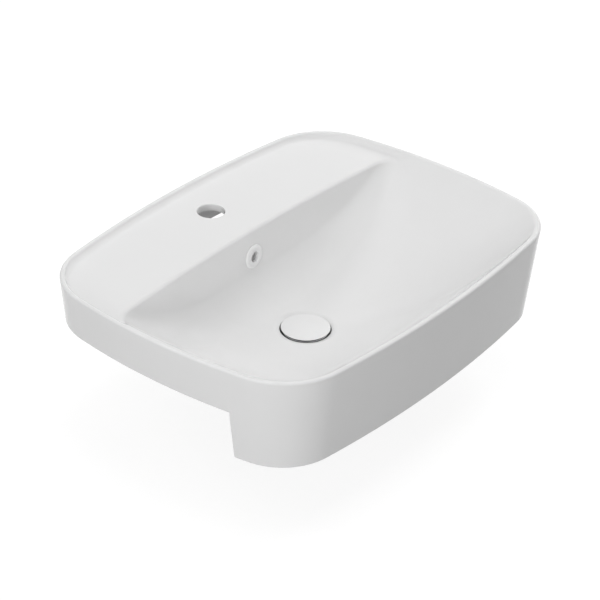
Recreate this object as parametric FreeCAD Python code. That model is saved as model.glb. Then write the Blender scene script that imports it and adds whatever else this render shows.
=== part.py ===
import FreeCAD
import Part
import math
import os

V = FreeCAD.Vector
os.makedirs("parts", exist_ok=True)

# Semi recessed wash basin with a push waste. All sizes are in millimetres.
# Frame: X is the width, the bowl's front faces -Y, +Z is up. The origin lies on the counter seat,
# in the middle of the rear band of the skirt, so Z = 0 is the top of the counter.

# ---- outline of the rim
WIDTH = 560.0
DEPTH = 425.0
FRONT_ARC_R = 1535.0
SIDE_ARC_R = 811.0
CORNER_R = 88.0
DRAFT = 5.73

# ---- heights
SKIRT_H = 59.0
APRON_H = 122.5
RIM_Z = SKIRT_H
APRON_Z = RIM_Z - APRON_H
SEAT_Y = 200.0
CENTRE_Y = -SEAT_Y
OVERHANG = 109.0
STEP_DRAFT = 3.2

# ---- walls
WALL = 11.0
BOWL_WALL = 10.0
DECK_T = 9.5
BULKHEAD_T = 9.0
CREST_DROP = 36.0

# ---- rim, lip and deck
RIM_W = 6.8
RIM_ROUND = 3.0
LIP_W = 6.2
LIP_DRAFT = 10.0
COVE_R = 6.5
LIP_END = 19.0
LIP_END_LEAN = 2.0
DECK_DROP = 8.0
DECK_Z = RIM_Z - DECK_DROP
DECK_EDGE_Y = 81.0
DECK_EDGE_R = 4.5
DECK_BOW_R = 2700.0

# ---- bowl
DISH_DEPTH = 115.5
DISH_POWER = 2.5
BACK_DRAFT = 3.0
FILLET_TOP = 18.0
FILLET_LOW = 38.0
FILLET_GROW = 70.0
DRAIN_Y = -4.0
N_AROUND = 72

# ---- tap hole and overflow
TAP_R = 17.5
TAP_BACK = 62.5
OVERFLOW_DROP = 46.0
OVERFLOW_HOLE_R = 11.5
RING_R = 16.0
RING_T = 3.0
RING_BORE_R = 6.8
RING_SEAT_GAP = 0.25
DUCT_W = 30.0
DUCT_H = 14.0
DUCT_WALL = 8.0

# ---- drain seat and boss
RECESS_R = 37.6
RECESS_LOW_R = 34.6
RECESS_DEPTH = 121.5
DRAIN_BORE_R = 22.75
BOSS_R = 41.0
BOSS_DEPTH = 154.0
DRAIN_SEAT_Z = RIM_Z - RECESS_DEPTH
BOSS_Z = RIM_Z - BOSS_DEPTH

# ---- push waste
GASKET_T = 1.8
GASKET_R = 28.5
FLANGE_R = 29.5
FLANGE_T = 2.6
NECK_R = 18.7
NECK_IN_R = 16.9
NECK_L = 7.3
TAIL_R = 20.95
TAIL_IN_R = 18.8
TAIL_LOW_R = 17.5
TAIL_L = 86.0
TAIL_TOP_GAP = 0.9
RELIEF_W = 1.5
RELIEF_DEEP = 0.8
SLOT_W = 22.0
SLOT_H = 12.0
SLOT_DROP = 6.0
CAP_R = 30.8
CAP_T = 3.2
CAP_CROWN = 0.6
CAP_LIFT = 0.9
CAP_BOSS_R = 9.0
CAP_BOSS_L = 4.8
SEAL_R = 27.3
SEAL_W = 3.6
SEAL_GROOVE = 1.0
STUD_R = 3.0
STUD_L = 5.4
FREE = 0.1
TRAVEL = 9.0
PISTON_R = 8.1
PISTON_T = 6.0
PISTON_NECK_R = 5.5
CAM_T = 4.0
SPRING_L = 12.0
SPRING_R = 7.2
SPRING_W = 1.2
HOUSING_R = 11.0
HOUSING_IN_R = 8.2
HOUSING_FLOOR = 3.0
HOUSING_LID = 2.0
STUB_R = 5.0
SPIDER_T = 5.0
SPIDER_HUB_R = 9.5
SPIDER_ARM = 4.5
LOCKNUT_T = 3.5
LOCKNUT_AF = 15.0
LOWER_GASKET_T = 6.0
LOWER_GASKET_R = 33.0
WASHER_T = 2.5
WASHER_R = 31.0
BACKNUT_T = 12.0
BACKNUT_R = 31.5
THREAD_GAP = 0.1
SLIP_GAP = 0.3

DRAFT_TAN = math.tan(math.radians(DRAFT))
BACK_TAN = math.tan(math.radians(BACK_DRAFT))
HALF_W = WIDTH / 2.0
HALF_D = DEPTH / 2.0
STEP_Y = CENTRE_Y - HALF_D + OVERHANG


def corner_centre():
    """Centre of the corner arc that touches the side arc and the front arc from inside."""
    fx, fy = 0.0, HALF_D - FRONT_ARC_R
    sx, sy = HALF_W - SIDE_ARC_R, 0.0
    r1 = FRONT_ARC_R - CORNER_R
    r2 = SIDE_ARC_R - CORNER_R
    dd = math.hypot(sx - fx, sy - fy)
    a = (r1 * r1 - r2 * r2 + dd * dd) / (2.0 * dd)
    h = math.sqrt(max(r1 * r1 - a * a, 0.0))
    ux, uy = (sx - fx) / dd, (sy - fy) / dd
    mx, my = fx + a * ux, fy + a * uy
    one = (mx - h * uy, my + h * ux)
    two = (mx + h * uy, my - h * ux)
    return max(one, two, key=lambda p: p[0] + p[1])


CORNER = corner_centre()
FRONT_ANG = math.atan2(CORNER[0], CORNER[1] - (HALF_D - FRONT_ARC_R))
SIDE_ANG = math.atan2(CORNER[1], CORNER[0] - (HALF_W - SIDE_ARC_R))


def inside_distance(x, y):
    """Distance of a point from the rim's outline, positive inside. x and y are from the basin's centre."""
    x, y = abs(x), abs(y)
    if math.atan2(x, y - (HALF_D - FRONT_ARC_R)) < FRONT_ANG:
        return FRONT_ARC_R - math.hypot(x, y - (HALF_D - FRONT_ARC_R))
    if math.atan2(y, x - (HALF_W - SIDE_ARC_R)) < SIDE_ANG:
        return SIDE_ARC_R - math.hypot(x - (HALF_W - SIDE_ARC_R), y)
    return CORNER_R - math.hypot(x - CORNER[0], y - CORNER[1])


def outline(inset, z):
    """Wire of eight tangent arcs: the rim's outline moved inwards by inset, at height z."""
    cf = HALF_D - FRONT_ARC_R
    cs = HALF_W - SIDE_ARC_R
    rf, rs, rc = FRONT_ARC_R - inset, SIDE_ARC_R - inset, CORNER_R - inset

    def on(cx, cy, r, ang):
        return V(cx + r * math.cos(ang), CENTRE_Y + cy + r * math.sin(ang), z)

    half = math.pi / 2.0
    qf, qs = half - FRONT_ANG, SIDE_ANG
    mid = (qf + qs) / 2.0
    cx, cy = CORNER
    arcs = []

    def arc(p, q, r):
        arcs.append(Part.Arc(p, q, r).toShape())

    arc(on(cs, 0, rs, -qs), on(cs, 0, rs, 0), on(cs, 0, rs, qs))
    arc(on(cx, cy, rc, qs), on(cx, cy, rc, mid), on(cx, cy, rc, qf))
    arc(on(0, cf, rf, qf), on(0, cf, rf, half), on(0, cf, rf, math.pi - qf))
    arc(on(-cx, cy, rc, math.pi - qf), on(-cx, cy, rc, math.pi - mid), on(-cx, cy, rc, math.pi - qs))
    arc(on(-cs, 0, rs, math.pi - qs), on(-cs, 0, rs, math.pi), on(-cs, 0, rs, math.pi + qs))
    arc(on(-cx, -cy, rc, math.pi + qs), on(-cx, -cy, rc, math.pi + mid), on(-cx, -cy, rc, math.pi + qf))
    arc(on(0, -cf, rf, math.pi + qf), on(0, -cf, rf, 3 * half), on(0, -cf, rf, -qf))
    arc(on(cx, -cy, rc, -qf), on(cx, -cy, rc, -mid), on(cx, -cy, rc, -qs))
    return Part.Wire(arcs)


def drafted(extra, z_low, z_top):
    """Solid between two levels, extra millimetres inside the tapering outer wall."""
    low = outline(extra + (RIM_Z - z_low) * DRAFT_TAN, z_low)
    top = outline(extra + (RIM_Z - z_top) * DRAFT_TAN, z_top)
    return Part.makeLoft([low, top], True, True)


def box(x0, x1, y0, y1, z0, z1):
    return Part.makeBox(x1 - x0, y1 - y0, z1 - z0, V(x0, y0, z0))


def prism_x(points, half_width):
    """Polygon given as (y, z) points, pushed along X to both sides of the middle plane."""
    wire = Part.makePolygon([V(-half_width, y, z) for y, z in points + points[:1]])
    return Part.Face(wire).extrude(V(2.0 * half_width, 0, 0))


def turned(points, x=0.0, y=0.0):
    """Solid of revolution about a vertical axis from (radius, z) points."""
    wire = Part.makePolygon([V(r, 0, z) for r, z in points + points[:1]])
    solid = Part.Face(wire).revolve(V(0, 0, 0), V(0, 0, 1), 360)
    solid.translate(V(x, y, 0))
    return solid


def rim_reach(theta):
    """Distance from the drain to the inner edge of the rim, in the direction theta."""
    low, high = 0.0, WIDTH
    for _ in range(50):
        mid = (low + high) / 2.0
        if inside_distance(mid * math.cos(theta), DRAIN_Y + mid * math.sin(theta)) > RIM_W:
            low = mid
        else:
            high = mid
    return low


def back_wall_y(x, depth):
    """Face of the bowed back wall under the deck, from the basin's centre, at a depth below the rim."""
    edge = DECK_EDGE_Y - (DECK_BOW_R - math.sqrt(DECK_BOW_R ** 2 - x * x))
    below = depth - DECK_DROP
    if below < DECK_EDGE_R:
        lift = min(max(DECK_EDGE_R - below, 0.0), 0.9 * DECK_EDGE_R)
        edge += DECK_EDGE_R - math.sqrt(DECK_EDGE_R ** 2 - lift * lift)
    return edge - BACK_TAN * max(below, 0.0)


def fillet_at(depth):
    """Radius of the fillet between dish and back wall: it grows from the deck to the floor."""
    t = min(max((depth - DECK_DROP) / FILLET_GROW, 0.0), 1.0)
    return FILLET_TOP + (FILLET_LOW - FILLET_TOP) * t * t * (3.0 - 2.0 * t)


def bowl_radius(theta, reach, z, grow):
    """Radius of the bowl's surface round the drain at height z, moved outwards by grow.

    The bowl is the space above a dish whose height follows a power of the distance from the drain,
    and in front of the back wall. Both faces meet in a rolled fillet."""
    depth = RIM_Z - z
    r_f = fillet_at(depth)
    c, s = math.cos(theta), math.sin(theta)
    low, high = 0.0, 1.6 * reach
    for _ in range(48):
        r = (low + high) / 2.0
        rho = r / reach
        height = -DISH_DEPTH * (1.0 - rho ** DISH_POWER)
        slope = DISH_DEPTH * DISH_POWER * rho ** (DISH_POWER - 1.0) / reach
        d_dish = (-depth - height) / math.sqrt(1.0 + slope * slope)
        d_wall = back_wall_y(r * c, depth) - (DRAIN_Y + r * s)
        gap = math.hypot(max(r_f - d_dish, 0.0), max(r_f - d_wall, 0.0)) - r_f
        if gap < grow:
            low = r
        else:
            high = r
    return low


def bowl_solid(levels, grow):
    """Loft through closed sections of the bowl, one at each level."""
    angles = [2.0 * math.pi * k / N_AROUND for k in range(N_AROUND)]
    reach = [rim_reach(a) for a in angles]
    wires = []
    for z in levels:
        points = []
        for a, d in zip(angles, reach):
            r = bowl_radius(a, d, z, grow)
            points.append(V(r * math.cos(a), CENTRE_Y + DRAIN_Y + r * math.sin(a), z))
        curve = Part.BSplineCurve()
        curve.interpolate(points, True)
        wires.append(Part.Wire([curve.toShape()]))
    return Part.makeLoft(wires, True, False)


def bowl_levels(z_low, z_top, count):
    """Heights that lie close together near the flat floor."""
    return [z_low + (z_top - z_low) * (k / float(count)) ** 1.9 for k in range(count + 1)]


def back_band(offset_in, offset_out, z_top):
    """Section of the overflow duct in the middle plane: it follows the bowl's back from the wall to the drain."""
    cy = CENTRE_Y + DECK_EDGE_Y - BACK_TAN * (DISH_DEPTH - FILLET_LOW) - FILLET_LOW
    cz = RIM_Z - DISH_DEPTH + FILLET_LOW
    wall = cy + FILLET_LOW

    def side(off):
        r = FILLET_LOW + off
        return [V(0, wall + off + BACK_TAN * (z_top - cz), z_top), V(0, cy + r, cz),
                V(0, cy + r * math.cos(math.pi / 4), cz - r * math.sin(math.pi / 4)), V(0, cy, cz - r),
                V(0, CENTRE_Y + DRAIN_Y, cz - r)]

    a, b = side(offset_in), side(offset_out)
    edges = [Part.makeLine(a[0], a[1]), Part.Arc(a[1], a[2], a[3]).toShape(), Part.makeLine(a[3], a[4]),
             Part.makeLine(a[4], b[4]), Part.makeLine(b[4], b[3]), Part.Arc(b[3], b[2], b[1]).toShape(),
             Part.makeLine(b[1], b[0]), Part.makeLine(b[0], a[0])]
    return Part.Face(Part.Wire(edges))


def deck_pocket():
    """Space above the deck: the lip's inner wall, the cove at its foot and the flat deck."""
    tan_l = math.tan(math.radians(LIP_DRAFT))
    foot = LIP_W + tan_l * (DECK_DROP - COVE_R)
    rings = [(LIP_W - 10.0 * tan_l, RIM_Z + 10.0), (LIP_W, RIM_Z), (foot, DECK_Z + COVE_R)]
    for deg in (22.5, 45.0, 67.5, 90.0):
        a = math.radians(deg)
        rings.append((foot + COVE_R * (1.0 - math.cos(a)), DECK_Z + COVE_R * (1.0 - math.sin(a))))
    wires = [outline(inset, z) for inset, z in rings]
    pieces = Part.makeLoft(wires, True, True)
    end = CENTRE_Y + DECK_EDGE_Y - LIP_END
    lean = LIP_END_LEAN * (DECK_DROP + 12.0)
    keep = [(end, DECK_Z - 1.0), (end - lean, RIM_Z + 11.0), (DEPTH, RIM_Z + 11.0), (DEPTH, DECK_Z - 1.0)]
    return pieces.common(prism_x(keep, WIDTH))


def overflow_place():
    """Point on the back wall at the overflow's axis."""
    y = CENTRE_Y + back_wall_y(0.0, OVERFLOW_DROP)
    return V(0, y, RIM_Z - OVERFLOW_DROP)


def along_overflow(shape):
    """Turns a shape made along +Z from the origin so that +Z points out of the back wall into the bowl."""
    shape.rotate(V(0, 0, 0), V(1, 0, 0), 90.0 - BACK_DRAFT)
    shape.translate(overflow_place())
    return shape


def make_basin():
    """Vitreous china body."""
    outer = drafted(0.0, APRON_Z, RIM_Z)
    top_edges = [e for e in outer.Edges if min(v.Point.z for v in e.Vertexes) > RIM_Z - 0.01]
    outer = outer.makeFillet(RIM_ROUND, top_edges)

    low_void = drafted(WALL, APRON_Z - 5.0, RIM_Z - CREST_DROP)
    deck_back = CENTRE_Y + DECK_EDGE_Y + BOWL_WALL + 6.0
    high_void = drafted(WALL, RIM_Z - CREST_DROP - 1.0, DECK_Z - DECK_T)
    high_void = high_void.common(box(-WIDTH, WIDTH, deck_back, DEPTH, APRON_Z, RIM_Z))
    skirt = outer.cut(low_void.fuse(high_void))

    step_run = math.tan(math.radians(STEP_DRAFT)) * (APRON_H - SKIRT_H)
    rear = [(STEP_Y, 0.0), (STEP_Y - step_run, APRON_Z), (STEP_Y - step_run, APRON_Z - 20.0),
            (DEPTH, APRON_Z - 20.0), (DEPTH, 0.0)]
    rear_cut = prism_x(rear, WIDTH)
    skirt = skirt.cut(rear_cut)

    bulk = [(STEP_Y, 0.0), (STEP_Y - step_run, APRON_Z), (STEP_Y - step_run - BULKHEAD_T, APRON_Z),
            (STEP_Y - BULKHEAD_T, RIM_Z - CREST_DROP + 1.0), (STEP_Y, RIM_Z - CREST_DROP + 1.0)]
    bulkhead = prism_x(bulk, WIDTH).common(drafted(2.0, APRON_Z - 5.0, RIM_Z - CREST_DROP + 5.0))

    shell = bowl_solid(bowl_levels(RIM_Z - DISH_DEPTH - BOWL_WALL + 0.4, DECK_Z - 8.0, 16), BOWL_WALL)
    drain = V(0, CENTRE_Y + DRAIN_Y, 0)
    boss = Part.makeCylinder(BOSS_R, RIM_Z - DISH_DEPTH - BOSS_Z, V(drain.x, drain.y, BOSS_Z))
    duct_top = RIM_Z - OVERFLOW_DROP + OVERFLOW_HOLE_R + 4.0
    pod = back_band(0.0, BOWL_WALL + DUCT_H + DUCT_WALL, duct_top + DUCT_WALL)
    pod = pod.extrude(V(DUCT_W + 2 * DUCT_WALL, 0, 0))
    pod.translate(V(-DUCT_W / 2 - DUCT_WALL, 0, 0))
    body = skirt.fuse([bulkhead, shell, boss, pod])

    cavity = bowl_solid(bowl_levels(RIM_Z - DISH_DEPTH + 0.5, DECK_Z - DECK_EDGE_R, 17)
                        + [DECK_Z - 3.0, DECK_Z - 1.5, DECK_Z, RIM_Z - 4.0, RIM_Z, RIM_Z + 6.0], 0.0)
    recess = turned([(0, RIM_Z - DISH_DEPTH + 3.0), (RECESS_R, RIM_Z - DISH_DEPTH + 3.0),
                     (RECESS_R, RIM_Z - DISH_DEPTH), (RECESS_LOW_R, DRAIN_SEAT_Z), (0, DRAIN_SEAT_Z)],
                    drain.x, drain.y)
    bore = Part.makeCylinder(DRAIN_BORE_R, BOSS_DEPTH, V(drain.x, drain.y, BOSS_Z - 5.0))
    duct = back_band(BOWL_WALL, BOWL_WALL + DUCT_H, duct_top).extrude(V(DUCT_W, 0, 0))
    duct.translate(V(-DUCT_W / 2, 0, 0))
    hole = along_overflow(Part.makeCylinder(OVERFLOW_HOLE_R, BOWL_WALL + 6.0, V(0, 0, -BOWL_WALL - 3.0)))
    tap = Part.makeCylinder(TAP_R, DECK_DROP + DECK_T + 20.0,
                            V(0, CENTRE_Y + HALF_D - TAP_BACK, DECK_Z - DECK_T - 5.0))
    for tool in (cavity, deck_pocket(), recess, bore, duct, hole, tap):
        body = body.cut(tool)
    return body


def make_overflow_ring():
    """Snap-in trim of the overflow: domed flange, barrel and four barbed legs."""
    gap = RING_SEAT_GAP
    barrel = OVERFLOW_HOLE_R - SLIP_GAP
    back = -BOWL_WALL - 0.6
    ring = turned([(RING_BORE_R, RING_T), (RING_R - 3.2, RING_T), (RING_R - 1.0, RING_T - 0.9),
                   (RING_R, gap + 0.8), (RING_R, gap), (barrel, gap), (barrel, back),
                   (barrel + 0.9, back), (barrel + 0.9, back - 0.8), (barrel - 0.6, back - 3.0),
                   (barrel - 1.6, back - 3.0), (barrel - 1.6, -2.0), (RING_BORE_R, -2.0)])
    for k in range(2):
        slot = box(-1.6, 1.6, -RING_R, RING_R, back - 4.0, -3.0)
        slot.rotate(V(0, 0, 0), V(0, 0, 1), 45.0 + 90.0 * k)
        ring = ring.cut(slot)
    return along_overflow(ring)


# ---- heights of the waste, from the ceramic seat upwards and downwards
FLANGE_LOW = DRAIN_SEAT_Z + GASKET_T
FLANGE_TOP = FLANGE_LOW + FLANGE_T
CAP_LOW = FLANGE_TOP + CAP_LIFT
CAP_TOP = CAP_LOW + CAP_T
CAP_BOSS_Z = CAP_LOW - CAP_BOSS_L
TAIL_TOP = FLANGE_LOW - TAIL_TOP_GAP
TAIL_LOW = TAIL_TOP - TAIL_L
LID_TOP = CAP_BOSS_Z - 3.0
LID_LOW = LID_TOP - HOUSING_LID
PISTON_TOP = LID_LOW - TRAVEL - 1.0
PISTON_LOW = PISTON_TOP - PISTON_T
CAM_TOP = PISTON_LOW - FREE
CAM_LOW = CAM_TOP - CAM_T
SPRING_TOP = CAM_LOW - FREE
SPRING_LOW = SPRING_TOP - SPRING_L
HOUSING_LOW = SPRING_LOW - FREE - HOUSING_FLOOR
SPIDER_TOP = HOUSING_LOW
SPIDER_LOW = SPIDER_TOP - SPIDER_T
STUB_LOW = SPIDER_LOW - LOCKNUT_T - 2.0
LOCKNUT_LOW = SPIDER_LOW - LOCKNUT_T
LOWER_GASKET_LOW = BOSS_Z - LOWER_GASKET_T
WASHER_LOW = LOWER_GASKET_LOW - WASHER_T
BACKNUT_LOW = WASHER_LOW - BACKNUT_T
DX = 0.0
DY = CENTRE_Y + DRAIN_Y


def ring_of(r_in, r_out, z_low, z_top):
    return turned([(r_in, z_low), (r_out, z_low), (r_out, z_top), (r_in, z_top)], DX, DY)


def hexagon(across_flats, z_low, z_top, bore_r):
    r = across_flats / math.sqrt(3.0)
    pts = [V(DX + r * math.cos(math.radians(60 * k)), DY + r * math.sin(math.radians(60 * k)), z_low)
           for k in range(7)]
    nut = Part.Face(Part.makePolygon(pts)).extrude(V(0, 0, z_top - z_low))
    return nut.cut(Part.makeCylinder(bore_r, z_top - z_low, V(DX, DY, z_low)))


def make_cap():
    """Glazed disc with a gently crowned top, a groove for the seal and a boss for the stud."""
    edge = CAP_T - CAP_CROWN
    body = turned([(0, CAP_TOP), (CAP_R * 0.5, CAP_TOP - CAP_CROWN * 0.25),
                   (CAP_R - 1.4, CAP_TOP - CAP_CROWN), (CAP_R - 0.4, CAP_TOP - CAP_CROWN - 0.4),
                   (CAP_R, CAP_TOP - CAP_CROWN - 1.1), (CAP_R - 0.9, CAP_LOW + 0.2 * edge),
                   (CAP_R - 1.6, CAP_LOW), (CAP_BOSS_R, CAP_LOW), (CAP_BOSS_R, CAP_BOSS_Z), (0, CAP_BOSS_Z)],
                  DX, DY)
    groove = ring_of(SEAL_R - SEAL_W - FREE, SEAL_R + FREE, CAP_LOW - 1.0, CAP_LOW + SEAL_GROOVE)
    stud = Part.makeCylinder(STUD_R + FREE, STUD_L + FREE + 1.0, V(DX, DY, CAP_BOSS_Z - 1.0))
    return body.cut(groove).cut(stud)


def make_cap_seal():
    top = CAP_LOW + SEAL_GROOVE - FREE
    low = FLANGE_TOP + FREE
    mid = SEAL_R - SEAL_W / 2.0
    return turned([(SEAL_R - SEAL_W, top), (SEAL_R, top), (SEAL_R, low + 1.0), (mid + 0.7, low),
                   (mid - 0.7, low), (SEAL_R - SEAL_W, low + 1.0)], DX, DY)


def make_plunger():
    """Stud, neck and guided piston that carry the cap."""
    return turned([(0, CAP_BOSS_Z + STUD_L - FREE), (STUD_R, CAP_BOSS_Z + STUD_L - FREE),
                   (STUD_R, CAP_BOSS_Z - FREE), (PISTON_NECK_R, CAP_BOSS_Z - FREE),
                   (PISTON_NECK_R, PISTON_TOP), (PISTON_R, PISTON_TOP), (PISTON_R, PISTON_LOW),
                   (0, PISTON_LOW)], DX, DY)


def make_cam_ring():
    """Ring with eight slanting teeth that indexes at each push."""
    ring = ring_of(2.5, PISTON_R - FREE, CAM_LOW, CAM_TOP)
    for k in range(8):
        notch = box(4.6, PISTON_R + 1.0, -0.9, 0.9, CAM_LOW + 1.6, CAM_TOP + 1.0)
        notch.rotate(V(0, 0, 0), V(0, 0, 1), 45.0 * k)
        notch.translate(V(DX, DY, 0))
        ring = ring.cut(notch)
    return ring


def make_spring():
    return ring_of(SPRING_R - SPRING_W, SPRING_R, SPRING_LOW, SPRING_TOP)


def make_housing():
    """Cup of the cartridge with its threaded stub."""
    return turned([(HOUSING_IN_R, LID_LOW), (HOUSING_R, LID_LOW), (HOUSING_R, HOUSING_LOW),
                   (STUB_R, HOUSING_LOW), (STUB_R, STUB_LOW), (0, STUB_LOW), (0, HOUSING_LOW + HOUSING_FLOOR),
                   (HOUSING_IN_R, HOUSING_LOW + HOUSING_FLOOR)], DX, DY)


def make_lid():
    return ring_of(PISTON_NECK_R + FREE, HOUSING_R, LID_LOW, LID_TOP)


def make_locknut():
    return hexagon(LOCKNUT_AF, LOCKNUT_LOW, SPIDER_LOW, STUB_R + THREAD_GAP)


def make_flange_gasket():
    return ring_of(DRAIN_BORE_R + 0.4, GASKET_R, DRAIN_SEAT_Z, FLANGE_LOW)


def make_flange():
    """Polished top flange with its funnel and threaded neck."""
    return turned([(NECK_IN_R + 4.6, FLANGE_TOP), (FLANGE_R - 0.8, FLANGE_TOP), (FLANGE_R, FLANGE_TOP - 0.8),
                   (FLANGE_R - 0.3, FLANGE_LOW), (NECK_R, FLANGE_LOW), (NECK_R, FLANGE_LOW - NECK_L),
                   (NECK_IN_R, FLANGE_LOW - NECK_L), (NECK_IN_R, FLANGE_LOW - 1.5)], DX, DY)


def make_tail():
    """Brass body: tube with the overflow windows, the spider for the cartridge and the threaded tail."""
    relief = BACKNUT_LOW - RELIEF_W
    tube = turned([(TAIL_IN_R, TAIL_TOP), (TAIL_R, TAIL_TOP), (TAIL_R, relief), (TAIL_R - RELIEF_DEEP, relief),
                   (TAIL_R - RELIEF_DEEP, relief - RELIEF_W), (TAIL_R, relief - RELIEF_W),
                   (TAIL_R, TAIL_LOW + 1.0), (TAIL_R - 1.0, TAIL_LOW),
                   (TAIL_LOW_R, TAIL_LOW), (TAIL_LOW_R, SPIDER_LOW - 3.0), (TAIL_IN_R, SPIDER_LOW - 1.0)],
                  DX, DY)
    z_top = FLANGE_LOW - NECK_L - SLOT_DROP + 4.0
    for k in range(2):
        slot = box(-TAIL_R - 2, TAIL_R + 2, -SLOT_W / 2, SLOT_W / 2, z_top - SLOT_H, z_top)
        slot.rotate(V(0, 0, 0), V(0, 0, 1), 90.0 * k)
        slot.translate(V(DX, DY, 0))
        tube = tube.cut(slot)
    spider = ring_of(STUB_R + THREAD_GAP, SPIDER_HUB_R, SPIDER_LOW, SPIDER_TOP)
    for k in range(3):
        arm = box(SPIDER_HUB_R - 1.0, TAIL_IN_R + 0.8, -SPIDER_ARM / 2, SPIDER_ARM / 2, SPIDER_LOW, SPIDER_TOP)
        arm.rotate(V(0, 0, 0), V(0, 0, 1), 90.0 + 120.0 * k)
        arm.translate(V(DX, DY, 0))
        spider = spider.fuse(arm)
    return tube.fuse(spider).removeSplitter()


def make_lower_gasket():
    """Tapered rubber washer that seals the boss from below."""
    r_in = TAIL_R + SLIP_GAP
    return turned([(r_in, BOSS_Z), (DRAIN_BORE_R + 2.0, BOSS_Z), (LOWER_GASKET_R, BOSS_Z - 2.2),
                   (LOWER_GASKET_R, LOWER_GASKET_LOW), (r_in, LOWER_GASKET_LOW)], DX, DY)


def make_washer():
    return ring_of(TAIL_R + SLIP_GAP, WASHER_R, WASHER_LOW, LOWER_GASKET_LOW)


def make_backnut():
    """Castellated back nut with eight wrench lugs."""
    bore = TAIL_R + THREAD_GAP
    nut = turned([(bore, WASHER_LOW), (BACKNUT_R - 1.5, WASHER_LOW), (BACKNUT_R - 1.5, WASHER_LOW - 3.0),
                  (BACKNUT_R - 5.0, WASHER_LOW - 3.0), (BACKNUT_R - 5.0, BACKNUT_LOW), (bore, BACKNUT_LOW)],
                 DX, DY)
    for k in range(8):
        lug = box(BACKNUT_R - 6.0, BACKNUT_R - 1.6, -2.6, 2.6, BACKNUT_LOW, WASHER_LOW - 2.0)
        lug.rotate(V(0, 0, 0), V(0, 0, 1), 22.5 + 45.0 * k)
        lug.translate(V(DX, DY, 0))
        nut = nut.fuse(lug)
    return nut.removeSplitter()


PIECES = {
    "basin_body": make_basin,
    "overflow_ring": make_overflow_ring,
    "waste_cap": make_cap,
    "cap_seal": make_cap_seal,
    "plunger": make_plunger,
    "cam_ring": make_cam_ring,
    "plug_spring": make_spring,
    "cartridge_housing": make_housing,
    "cartridge_lid": make_lid,
    "cartridge_locknut": make_locknut,
    "flange_gasket": make_flange_gasket,
    "waste_flange": make_flange,
    "waste_tail": make_tail,
    "lower_gasket": make_lower_gasket,
    "friction_washer": make_washer,
    "backnut": make_backnut,
}

for name, maker in PIECES.items():
    shape = maker()
    box_ = shape.BoundBox
    print("%-18s solids %d valid %s volume %.1f cm3  x %.1f..%.1f y %.1f..%.1f z %.1f..%.1f" % (
        name, len(shape.Solids), shape.isValid(), shape.Volume / 1000.0,
        box_.XMin, box_.XMax, box_.YMin, box_.YMax, box_.ZMin, box_.ZMax))
    shape.exportStep("parts/%s.step" % name)
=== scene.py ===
import math
import bpy
import numpy as np
from mathutils import Matrix, Vector

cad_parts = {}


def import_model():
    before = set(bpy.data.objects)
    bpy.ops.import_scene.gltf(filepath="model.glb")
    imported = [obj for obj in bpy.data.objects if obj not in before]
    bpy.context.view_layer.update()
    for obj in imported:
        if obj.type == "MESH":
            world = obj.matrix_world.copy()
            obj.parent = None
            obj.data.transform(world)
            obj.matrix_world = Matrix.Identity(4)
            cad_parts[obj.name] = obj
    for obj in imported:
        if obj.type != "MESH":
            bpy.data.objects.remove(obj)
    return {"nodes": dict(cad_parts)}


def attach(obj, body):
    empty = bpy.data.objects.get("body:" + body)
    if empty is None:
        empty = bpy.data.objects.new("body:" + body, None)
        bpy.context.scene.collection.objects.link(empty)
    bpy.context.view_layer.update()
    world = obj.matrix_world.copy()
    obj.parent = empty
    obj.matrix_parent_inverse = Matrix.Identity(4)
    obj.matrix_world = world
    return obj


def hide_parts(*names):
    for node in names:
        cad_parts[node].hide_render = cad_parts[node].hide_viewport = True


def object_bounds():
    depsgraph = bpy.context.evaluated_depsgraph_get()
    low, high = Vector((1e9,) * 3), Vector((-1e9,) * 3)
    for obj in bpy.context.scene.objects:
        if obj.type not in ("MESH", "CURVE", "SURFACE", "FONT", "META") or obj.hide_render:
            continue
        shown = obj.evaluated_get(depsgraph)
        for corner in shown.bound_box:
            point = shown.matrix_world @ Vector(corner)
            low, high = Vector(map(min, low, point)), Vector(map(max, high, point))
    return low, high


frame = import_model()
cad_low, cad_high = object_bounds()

# ---------------------------------------------------------------- china body
# The whole basin is one slip-cast piece of vitreous china: rim, lip, tap deck, bowl, skirt and apron.
# It is glazed white all over, except on the faces that it stands on in the kiln, and it is hollow
# underneath. The glaze rounds every edge.
mm = 0.001
# the rim's outline of eight tangent arcs, the outer wall and the step behind the apron
HALF_W = 280.0 * mm
HALF_D = 212.5 * mm
FRONT_R = 1535.0 * mm
SIDE_R = 811.0 * mm
CORNER_R = 88.0 * mm
SIDE_CX = HALF_W - SIDE_R
FRONT_CY = HALF_D - FRONT_R
CENTRE_Y = -200.0 * mm
RIM_Z = cad_high.z
RIM_ROUND = 3.0 * mm
DRAFT = math.tan(math.radians(5.73))
APRON_Z = RIM_Z - 122.5 * mm
STEP_Y = CENTRE_Y - HALF_D + 109.0 * mm
STEP_TAN = math.tan(math.radians(3.2))
BOTTOM_ROUND = 1.6 * mm
# the crest of the rim, and the lip that stands round the tap deck
CREST_MID = 3.4 * mm
CREST_ROUND = 2.5 * mm
LIP_W = 6.2 * mm
LIP_ANGLE = math.radians(10.0)
LIP_END_Y = 62.0 * mm
LIP_END_SLOPE = 0.6
LIP_END_EASE = 12.0 * mm
COVE_R = 6.5 * mm
# the tap deck and its hole
DECK_Z = RIM_Z - 8.0 * mm
DECK_T = 9.5 * mm
DECK_EDGE_Y = 82.5 * mm
DECK_EDGE_R = 4.5 * mm
DECK_BOW_R = 2700.0 * mm
TAP_R = 17.5 * mm
TAP_Y = HALF_D - 62.5 * mm
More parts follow.
